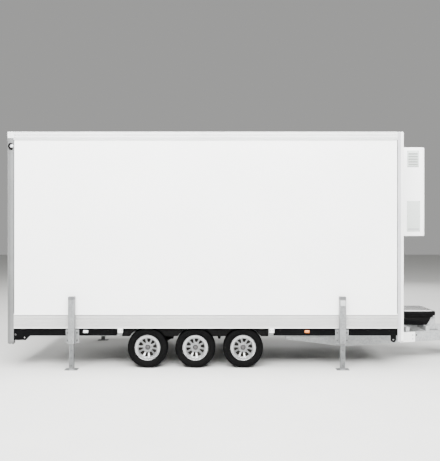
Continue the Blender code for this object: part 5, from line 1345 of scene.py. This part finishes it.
def makeHandbrake():
    low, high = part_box("handbrake_lever")
    pivot = Vector((high.x - 0.045, 0, low.z))
    swing = Vector((-math.sin(math.radians(40)), 0, math.cos(math.radians(40))))
    tip = Vector((low.x + 0.006, 0, high.z - 0.004))
    length = (tip - pivot).length
    shape = bmesh.new()
    sector = [(pivot.x - 0.045, low.z), (pivot.x + 0.045, low.z), (pivot.x + 0.045, low.z + 0.03),
            (pivot.x + 0.026, low.z + 0.048), (pivot.x - 0.012, low.z + 0.05), (pivot.x - 0.045, low.z + 0.026)]
    for y in (-0.018, 0.013):
        addPrism(shape, sector, "y", y, y + 0.005)
    addRod(shape, (pivot.x, -0.0205, low.z + 0.022), (pivot.x, 0.0205, low.z + 0.022), 0.008, 16, 0.002)
    finishPiece("brakeSector", shape, "zinc", bevel=0.001, stands=("handbrake_lever",))
    points = [pivot + swing * (length * t) for t in (0.06, 0.4, 0.72, 0.97)]
    points[1].x += 0.006
    tubePiece("brakeLever", points, 0.0085, 0.08, "blackPaint")
    grip = bmesh.new()
    start, end = pivot + swing * (length * 0.74), pivot + swing * (length * 0.985)
    addRod(grip, start, end, 0.0125, 20, 0.005)
    for n in range(7):
        at = start.lerp(end, 0.12 + n * 0.12)
        addRod(grip, at - swing * 0.0025, at + swing * 0.0025, 0.0138, 20, 0.0015)
    finishPiece("brakeGrip", grip, "rubber")
    # gas spring beside the lever
    shape = bmesh.new()
    foot, top = pivot + Vector((-0.19, 0.024, 0.01)), pivot + swing * (length * 0.42) + Vector((0, 0.017, 0))
    addRod(shape, foot, foot.lerp(top, 0.6), 0.009, 18, 0.002)
    addRod(shape, foot.lerp(top, 0.58), top, 0.0042, 12)
    finishPiece("brakeSpring", shape, "glossMoulding")


def makeJockey():
    low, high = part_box("jockey_wheel")
    centre = (low + high) / 2
    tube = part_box("jockey_tube")
    radius, half = (high.z - low.z) / 2, (high.y - low.y) / 2
    matrix = placeOf(centre, "y")
    finishPiece("jockeyTyre", shapeOf(addTurned, [(radius * 0.72, -half * 0.9), (radius * 0.9, -half),
            (radius * 0.98, -half * 0.62), (radius, -half * 0.3), (radius, half * 0.3),
            (radius * 0.98, half * 0.62), (radius * 0.9, half), (radius * 0.72, half * 0.9)], 48, matrix, True),
            "rubber", "jockey_wheel", stands=("jockey_wheel",))
    finishPiece("jockeyHub", shapeOf(addTurned, [(0.0088, -half * 0.92), (0.022, -half * 0.92),
            (0.024, -half * 0.25), (radius * 0.62, -half * 0.25), (radius * 0.66, -half * 0.86),
            (radius * 0.735, -half * 0.88), (radius * 0.735, half * 0.88), (radius * 0.66, half * 0.86),
            (radius * 0.62, half * 0.25), (0.024, half * 0.25), (0.022, half * 0.92), (0.0088, half * 0.92)], 48,
            matrix, True), "wheelSilver", "jockey_wheel")
    for face in (-1, 1):
        rib = shapeOf(addBox, (0.022, -0.0025, half * 0.2), (radius * 0.67, 0.0025, half * 0.74))
        mesh = runTree(ringTree, rib, {"Count": 8, "Radius": 0.0, "Height": 0.0, "Finish": finishes["wheelSilver"]})
        mesh.transform(placeOf(centre, "y" if face > 0 else "-y"))
        finishPiece(f"jockeyRibs_{'left' if face > 0 else 'right'}", mesh, "wheelSilver", "jockey_wheel")
    # crank grip, clamp lever and cap
    x, y = centre.x + 0.045, centre.y
    top = tube[1].z
    finishPiece("crankGrip", shapeOf(addTurned, [(0.0095, 0.004), (0.015, 0.006), (0.0165, 0.03), (0.014, 0.06),
            (0.015, 0.078), (0.0095, 0.083)], 20, placeOf((x - 0.13, y, top - 0.086), "z"), True), "blackMoulding")
    finishPiece("jockeyCap", shapeOf(addTurned, [(0.0105, -0.002), (0.0325, -0.002), (0.0325, 0.008),
            (0.021, 0.014), (0.0105, 0.015)], 28, placeOf((x, y, 0.8), "z"), True), "blackMoulding")
    clamp = tube[0].z + 0.091
    shape = shapeOf(addRod, (x, y + 0.034, clamp), (x, y + 0.066, clamp), 0.007, 14, 0.0015)
    addRod(shape, (x - 0.048, y + 0.06, clamp + 0.012), (x + 0.048, y + 0.06, clamp - 0.012), 0.0048, 12, 0.002)
    finishPiece("clampLever", shape, "zincBright")


# drawbar box and cooling unit

storageSizes = {
    "rearSlope": 0.04, "frontSlope": 0.077, "sideSlope": 0.03, "flange": 0.018, "wall": 0.006, "corner": 0.045,
}


def makeStorage():
    size = storageSizes
    low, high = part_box("storage_box")
    lip = size["flange"]
    wallLow = (low.x + lip, low.y + lip)
    wallHigh = (high.x - lip, high.y - lip)
    footLow = (low.x + size["rearSlope"], low.y + size["sideSlope"])
    footHigh = (high.x - size["frontSlope"], high.y - size["sideSlope"])
    thick = size["wall"]
    shrink = lambda first, second, amount: ((first[0] + amount, first[1] + amount),
            (second[0] - amount, second[1] - amount))
    levels = [(shrink(footLow, footHigh, 0.008), low.z), ((footLow, footHigh), low.z + 0.008)]
    for share in (0.33, 0.36, 0.66, 0.69):
        grow = 0.0035 if share in (0.36, 0.66) else 0.0
        a = tuple(f + (w - f) * share - grow for f, w in zip(footLow, wallLow))
        b = tuple(f + (w - f) * share + grow for f, w in zip(footHigh, wallHigh))
        levels.append(((a, b), low.z + (high.z - low.z) * share))
    levels += [((wallLow, wallHigh), high.z - 0.02), (((low.x, low.y), (high.x, high.y)), high.z - 0.018),
            (((low.x, low.y), (high.x, high.y)), high.z), (shrink(wallLow, wallHigh, thick), high.z),
            (shrink(footLow, footHigh, thick), low.z + thick)]
    finishPiece("storageTub", shapeOf(addRings, [boxOutline(a, b, size["corner"], z) for (a, b), z in levels]),
            "glossMoulding", slot="black_plastic", smooth=40, bevel=0.0015, stands=("storage_box",))
    low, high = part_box("storage_lid")
    steps = [(0.04, 0.055), (0.006, 0.046), (0.005, 0.001), (0.0, 0.0), (0.0, 0.05), (0.0035, 0.058),
            (0.01, 0.0625), (0.022, 0.065), (0.05, 0.0672), (0.1, 0.0686), (0.16, 0.0695), (0.22, 0.07)]
    rings = []
    for inset, rise in steps:
        radius = max(0.02, 0.035 - inset * 0.1) + (0.025 if inset > 0.09 else 0)
        rings.append(boxOutline((low.x + inset, low.y + inset), (high.x - inset, high.y - inset), radius,
                low.z + rise))
    finishPiece("storageLidShell", shapeOf(addRings, rings), "lidGloss", "storage_lid", smooth=50, bevel=0.001,
            stands=("storage_lid",))
    shape = bmesh.new()
    band = [boxOutline((low.x - grow, low.y - grow), (high.x + grow, high.y + grow), 0.035, low.z + rise) for grow,
            rise in ((0.0018, -0.003), (0.0018, 0.05), (-0.002, 0.055), (-0.004, -0.003))]
    addRings(shape, band + band[:1], (False, False))
    bmesh.ops.remove_doubles(shape, verts=shape.verts, dist=0.00001)
    finishPiece("storageLidRim", shape, "blackMoulding", "storage_lid", smooth=40)
    for i, y in enumerate((-0.2, 0.2)):
        shape = bmesh.new()
        x = high.x - 0.004
        addPrism(shape, [(x - 0.002, low.z + 0.026), (x + 0.01, low.z + 0.024), (x + 0.01, low.z - 0.036),
                (x - 0.002, low.z - 0.03)], "y", y - 0.02, y + 0.02)
        addRod(shape, (x + 0.004, y - 0.024, low.z + 0.016), (x + 0.004, y + 0.024, low.z + 0.016), 0.004, 12)
        finishPiece(f"lidCatch_{i}", shape, "blackMoulding", "storage_lid", bevel=0.002)


coolSizes = {
    "inset": 0.001, "louvreLow": (2.052, 2.737), "louvreHigh": (2.221, 2.976), "hatchLow": (2.048, 1.821),
    "hatchHigh": (2.237, 2.259), "slats": 9, "frontSlats": 16, "grille": (2.42, 2.93, 0.4),
    "door": (1.8, 2.22, 0.42),
}


def makeCooler():
    low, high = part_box("cooling_unit")
    high.x += 0.008
    size = coolSizes
    inset = size["inset"]
    wide = high.y - inset
    plan = [(low.x, -wide), (high.x - 0.06, -wide), (high.x - 0.03, -wide + 0.007), (high.x - 0.01, -wide + 0.024),
            (high.x - inset, -wide + 0.055), (high.x - inset, wide - 0.055), (high.x - 0.01, wide - 0.024),
            (high.x - 0.03, wide - 0.007), (high.x - 0.06, wide), (low.x, wide)]
    finishPiece("coolerHousing", shapeOf(addPrism, plan, "z", low.z + 0.006, high.z), "coolerWhite", bevel=0.01,
            stands=("cooling_unit",))
    shape = bmesh.new()
    inner = [(a if a == low.x else a - 0.006, b * 0.988) for a, b in plan]
    addPrism(shape, inner, "z", low.z, low.z + 0.03)
    finishPiece("coolerBase", shape, "sealantAndOpeningShade")
    finishPiece("coolerGasket", shapeOf(addPrism, [(low.x + 0.0005, -wide - 0.003), (low.x + 0.022, -wide - 0.003),
            (low.x + 0.022, wide + 0.003), (low.x + 0.0005, wide + 0.003)], "z", low.z + 0.01, high.z - 0.004),
            "rubber", bevel=0.003)
    for sideName, side in sides.items():
        face = side * wide
        for label, (x1, z1), (x2, z2), count in (("louvre", size["louvreLow"], size["louvreHigh"], size["slats"]),
                ("hatch", size["hatchLow"], size["hatchHigh"], 0)):
            finishPiece(f"cooler_{label}_{sideName}", shapeOf(addPrism, roundedOutline((x1, z1), (x2, z2), 0.01),
                    "y", *sorted((face - side * 0.002, face + side * 0.0028))), "coolerPanel", bevel=0.0018)
            boltRows(f"cooler_{label}Screws_{sideName}", turnedShape(domeRivet(0.0042, 0.0024), outward[side]),
                    (x1 + 0.01, face + side * 0.0028, z1 + 0.01), "zincBright", columns=2,
                    columnStep=(x2 - x1 - 0.02, 0, 0), rows=3, rowStep=(0, 0, (z2 - z1 - 0.02) / 2))
            if not count:
                finishPiece(f"cooler_hatchStrip_{sideName}", shapeOf(addBox, (x1 + 0.016, face, z1 + 0.018),
                        (x2 - 0.016, face + side * 0.0036, z1 + 0.05)), "greyLabel", bevel=0.001)
                continue
            wide2 = (x2 - x1) / 2 - 0.018
            pitch = (z2 - z1 - 0.034) / count
            slat = bmesh.new()
            profile = [(side * 0.0026, -pitch * 0.2), (side * 0.0095, -pitch * 0.3), (side * 0.0105, -pitch * 0.2),
                    (side * 0.0026, pitch * 0.28)]
            addPrism(slat, profile, "x", -wide2, wide2)
            boltRows(f"coolerSlats_{sideName}", slat, ((x1 + x2) / 2, face, z1 + 0.017 + pitch / 2), "coolerPanel",
                    rows=count, rowStep=(0, 0, pitch), smooth=20)
            # thin dark strips behind the slats: painted shade in the louvre's gaps
            gap = shapeOf(addPrism, [(side * 0.0026, -pitch * 0.66), (side * 0.0032, -pitch * 0.66),
                    (side * 0.0032, -pitch * 0.28), (side * 0.0026, -pitch * 0.28)], "x", -wide2, wide2)
            boltRows(f"coolerGaps_{sideName}", gap, ((x1 + x2) / 2, face, z1 + 0.017 + pitch / 2), "sealantAndOpeningShade",
                    rows=count, rowStep=(0, 0, pitch), smooth=20)
    # front: wide condenser grille above on a dark backing, painted shade behind its slats; service door with latches
    # below
    face = high.x - inset
    for label in ("grille", "door"):
        z1, z2, half = size[label]
        finishPiece(f"cooler_{label}Front", shapeOf(addPrism, roundedOutline((-half, z1), (half, z2), 0.02), "x",
                face - 0.002, face + 0.003), "coolerPanel" if label == "door" else "sealantAndOpeningShade", slot="panel",
                bevel=0.0018)
    z1, z2, half = size["grille"]
    rim = roundedOutline((-half, z1), (half, z2), 0.02)
    tubePiece("coolerGrilleRim", [(face + 0.002, y, z) for y, z in rim], 0.0065, 0.0, "coolerPanel", closed=True)
    slat = shapeOf(addPrism, [(0.0026, -0.01), (0.0085, -0.013), (0.01, -0.01), (0.0026, 0.006)], "y", -0.385,
            0.385)
    boltRows("coolerFrontSlats", slat, (face, 0, 2.446), "coolerPanel", rows=size["frontSlats"],
            rowStep=(0, 0, 0.458 / (size["frontSlats"] - 1)), smooth=20)
    for i, y in enumerate((-0.33, 0.33)):
        shape = shapeOf(addPrism, roundedOutline((y - 0.016, 2.13), (y + 0.016, 2.2), 0.007), "x", face + 0.002,
                face + 0.012)
        addPrism(shape, roundedOutline((y - 0.01, 2.115), (y + 0.01, 2.165), 0.006), "x", face + 0.01, face + 0.02)
        finishPiece(f"coolerLatch_{i}", shape, "blackMoulding", bevel=0.002)
    finishPiece("coolerDrain", shapeOf(addRod, (low.x + 0.2, 0.3, low.z + 0.02), (low.x + 0.2, 0.3, low.z - 0.028),
            0.011, 18, 0.002), "blackMoulding")


# chassis details

chassisSizes = {
    "archRadius": 0.288, "lip": 0.0045, "lipHeight": 0.4315, "rodHeight": 0.298, "boltPitch": 0.29,
    "eyeRadius": 0.019,
}


def makeChassis():
    wheels = [(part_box(f"tyre_{end}_right")[0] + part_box(f"tyre_{end}_right")[1]) / 2 for end in ("rear", "middle",
            "front")]
    radius = chassisSizes["archRadius"]
    base = chassisSizes["lipHeight"]
    for sideName, side in sides.items():
        low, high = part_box(f"mudguard_{sideName}")
        y = side * (max(abs(low.y), abs(high.y)) - chassisSizes["lip"])
        points = [(low.x + 0.002, y, base)]
        reach = math.asin((base - wheels[0].z) / radius)
        for wheel in wheels:
            for n in range(17):
                angle = math.pi - reach - (math.pi - 2 * reach) * n / 16
                points.append((wheel.x + radius * math.cos(angle), y, wheel.z + radius * math.sin(angle)))
        points.append((high.x - 0.002, y, base))
        tubePiece(f"mudguardLip_{sideName}", points, chassisSizes["lip"], 0.006, "blackMoulding", sides=10)
        inner = side * (min(abs(low.y), abs(high.y)) + 0.004)
        rod = bmesh.new()
        # splash sheets between the wheels
        for first, second in zip(wheels, wheels[1:]):
            middle = (first.x + second.x) / 2
            addPrism(rod, [(middle - 0.034, base), (middle + 0.034, base), (middle + 0.014, base - 0.07),
                    (middle - 0.014, base - 0.07)], "y", *sorted((inner, inner + side * 0.004)))
        finishPiece(f"splashSheets_{sideName}", rod, "blackMoulding", bevel=0.001)
        # rail bolts along the black side rails
        for label, node in (("rear", "side_rail_rear"), ("front", "side_rail_front")):
            a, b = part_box(f"{node}_{sideName}")
            face = side * max(abs(a.y), abs(b.y))
            boltRows(f"railBolts_{label}_{sideName}", turnedShape(hexBolt(0.007, 0.005), outward[side]),
                    (a.x + 0.09, face, b.z - 0.03), "blackPaint",
                    columns=int((b.x - a.x - 0.18) / chassisSizes["boltPitch"]) + 1,
                    columnStep=(chassisSizes["boltPitch"], 0, 0), turn=(0, 1.0, 0), seed=11)
            x = a.x + 0.055 if label == "rear" else b.x - 0.06
            z = a.z + 0.03
            eye = [(x + chassisSizes["eyeRadius"] * math.cos(t), face + side * 0.004,
                    z + chassisSizes["eyeRadius"] * math.sin(t)) for t in [math.pi * n / 10 for n in range(20)]]
            tubePiece(f"lashEye_{label}_{sideName}", eye, 0.0052, 0.0, "blackPaint", closed=True)
    # brake rod to the axles, its balance plates, and bolts for the axle clamps
    z = chassisSizes["rodHeight"]
    finishPiece("brakeRod", shapeOf(addRod, (wheels[0].x + 0.14, 0, z), (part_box("overrun_coupling")[0].x - 0.02, 0,
            z + 0.02), 0.006, 14), "zincBright")
    for end, wheel in zip(("rear", "middle", "front"), wheels):
        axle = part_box(f"axle_{end}")
        shape = shapeOf(addPrism, roundedOutline((wheel.x + 0.16, -0.075), (wheel.x + 0.184, 0.075), 0.01), "z",
                z - 0.004, z + 0.004)
        addRod(shape, (wheel.x + 0.172, -0.055, z), (wheel.x + 0.06, -0.14, z + 0.012), 0.004, 10)
        addRod(shape, (wheel.x + 0.172, 0.055, z), (wheel.x + 0.06, 0.14, z + 0.012), 0.004, 10)
        finishPiece(f"brakeBalance_{end}", shape, "zinc", bevel=0.001)
        for sideName, side in sides.items():
            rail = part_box(f"main_rail_{sideName}")
            inner = side * (min(abs(rail[0].y), abs(rail[1].y)) - 0.0003)
            boltRows(f"axleBolts_{end}_{sideName}", turnedShape(hexBolt(0.0095, 0.009), outward[-side]),
                    (axle[0].x + 0.1, inner, rail[0].z + 0.045), "zincBright", columns=3, columnStep=(0.055, 0, 0),
                    turn=(0, 1.0, 0), seed=5)


makeSideTrim()
makeFrontPosts()
makeMarkers()
makeHandles()
print("box trimmed")
makeDoors()
makeRearFrame()
makeRearLamps()
makeLoadSpace()
print("rear end and load space fitted")
makeStands()
makeDrawbar()
makeCoupling()
makeHandbrake()
makeJockey()
print("stands and drawbar fitted")
makeStorage()
makeCooler()
makeChassis()
print("drawbar box, cooling unit and chassis fitted")


# floor, light and camera

stageSizes = {
    "floor": 40.0, "colour": (0.5, 0.5, 0.485), "distance": 8.7, "eyeHeight": 1.838, "along": 2.824, "lens": 51.08,
}


def makeFloor():
    shape = bmesh.new()
    bmesh.ops.create_grid(shape, x_segments=8, y_segments=8, size=stageSizes["floor"])
    mesh = meshFrom(shape, False)
    mesh.transform(Matrix.Translation((0, 0, -0.0015)))
    material = bpy.data.materials.new("paleFloor")
    material.use_nodes = True
    tree = material.node_tree
    shader = tree.nodes["Principled BSDF"]
    place = tree.nodes.new("ShaderNodeTexCoord").outputs["Object"]
    cloud = rangeOf(tree, noiseOf(tree, place, 1.4, 5.0), 0.3, 0.7)
    base = stageSizes["colour"]
    join(tree, mixColour(tree, cloud, base, tuple(c * 1.05 for c in base)), shader.inputs["Base Color"])
    shader.inputs["Roughness"].default_value = 0.75
    mesh.materials.append(material)
    piece = bpy.data.objects.new("studioFloor", mesh)
    bpy.context.scene.collection.objects.link(piece)


def addLight(name, place, aim, size, power, colour=(1, 1, 1)):
    data = bpy.data.lights.new(name, "AREA")
    data.shape, data.size, data.size_y, data.energy, data.color = "RECTANGLE", size[0], size[1], power, colour
    light = bpy.data.objects.new(name, data)
    bpy.context.scene.collection.objects.link(light)
    light.location = place
    light.rotation_euler = (Vector(aim) - Vector(place)).to_track_quat("-Z", "Y").to_euler()


def makeLights():
    world = bpy.data.worlds.new("softRoom")
    bpy.context.scene.world = world
    world.use_nodes = True
    back = world.node_tree.nodes["Background"]
    back.inputs["Color"].default_value = (1.0, 1.0, 0.985, 1)
    back.inputs["Strength"].default_value = 0.38
    addLight("overhead", (0, -3.0, 9.0), (0, 0, 1), (12, 8), 3200)
    addLight("rightSoft", (-1.0, -11.0, 9.0), (0, 0, 1.2), (12, 5), 6800)
    addLight("leftSoft", (3.0, 12.0, 6.5), (0, 0, 1.2), (9, 6), 1000)
    addLight("rearSoft", (-12.0, -2.0, 5.0), (0, 0, 1.2), (6, 5), 1500)
    addLight("frontSoft", (12.0, -3.0, 5.0), (1, 0, 1.2), (6, 5), 800)


def makeCamera():
    data = bpy.data.cameras.new("view")
    data.sensor_width = 36.0
    data.lens = stageSizes["lens"]
    data.clip_end = 200
    camera = bpy.data.objects.new("view", data)
    bpy.context.scene.collection.objects.link(camera)
    camera.location = (rearX + stageSizes["along"], -sideY - stageSizes["distance"], stageSizes["eyeHeight"])
    camera.rotation_euler = (math.pi / 2, 0, 0)
    bpy.context.scene.camera = camera


makeFloor()
makeLights()
makeCamera()
print("floor, light and camera set")
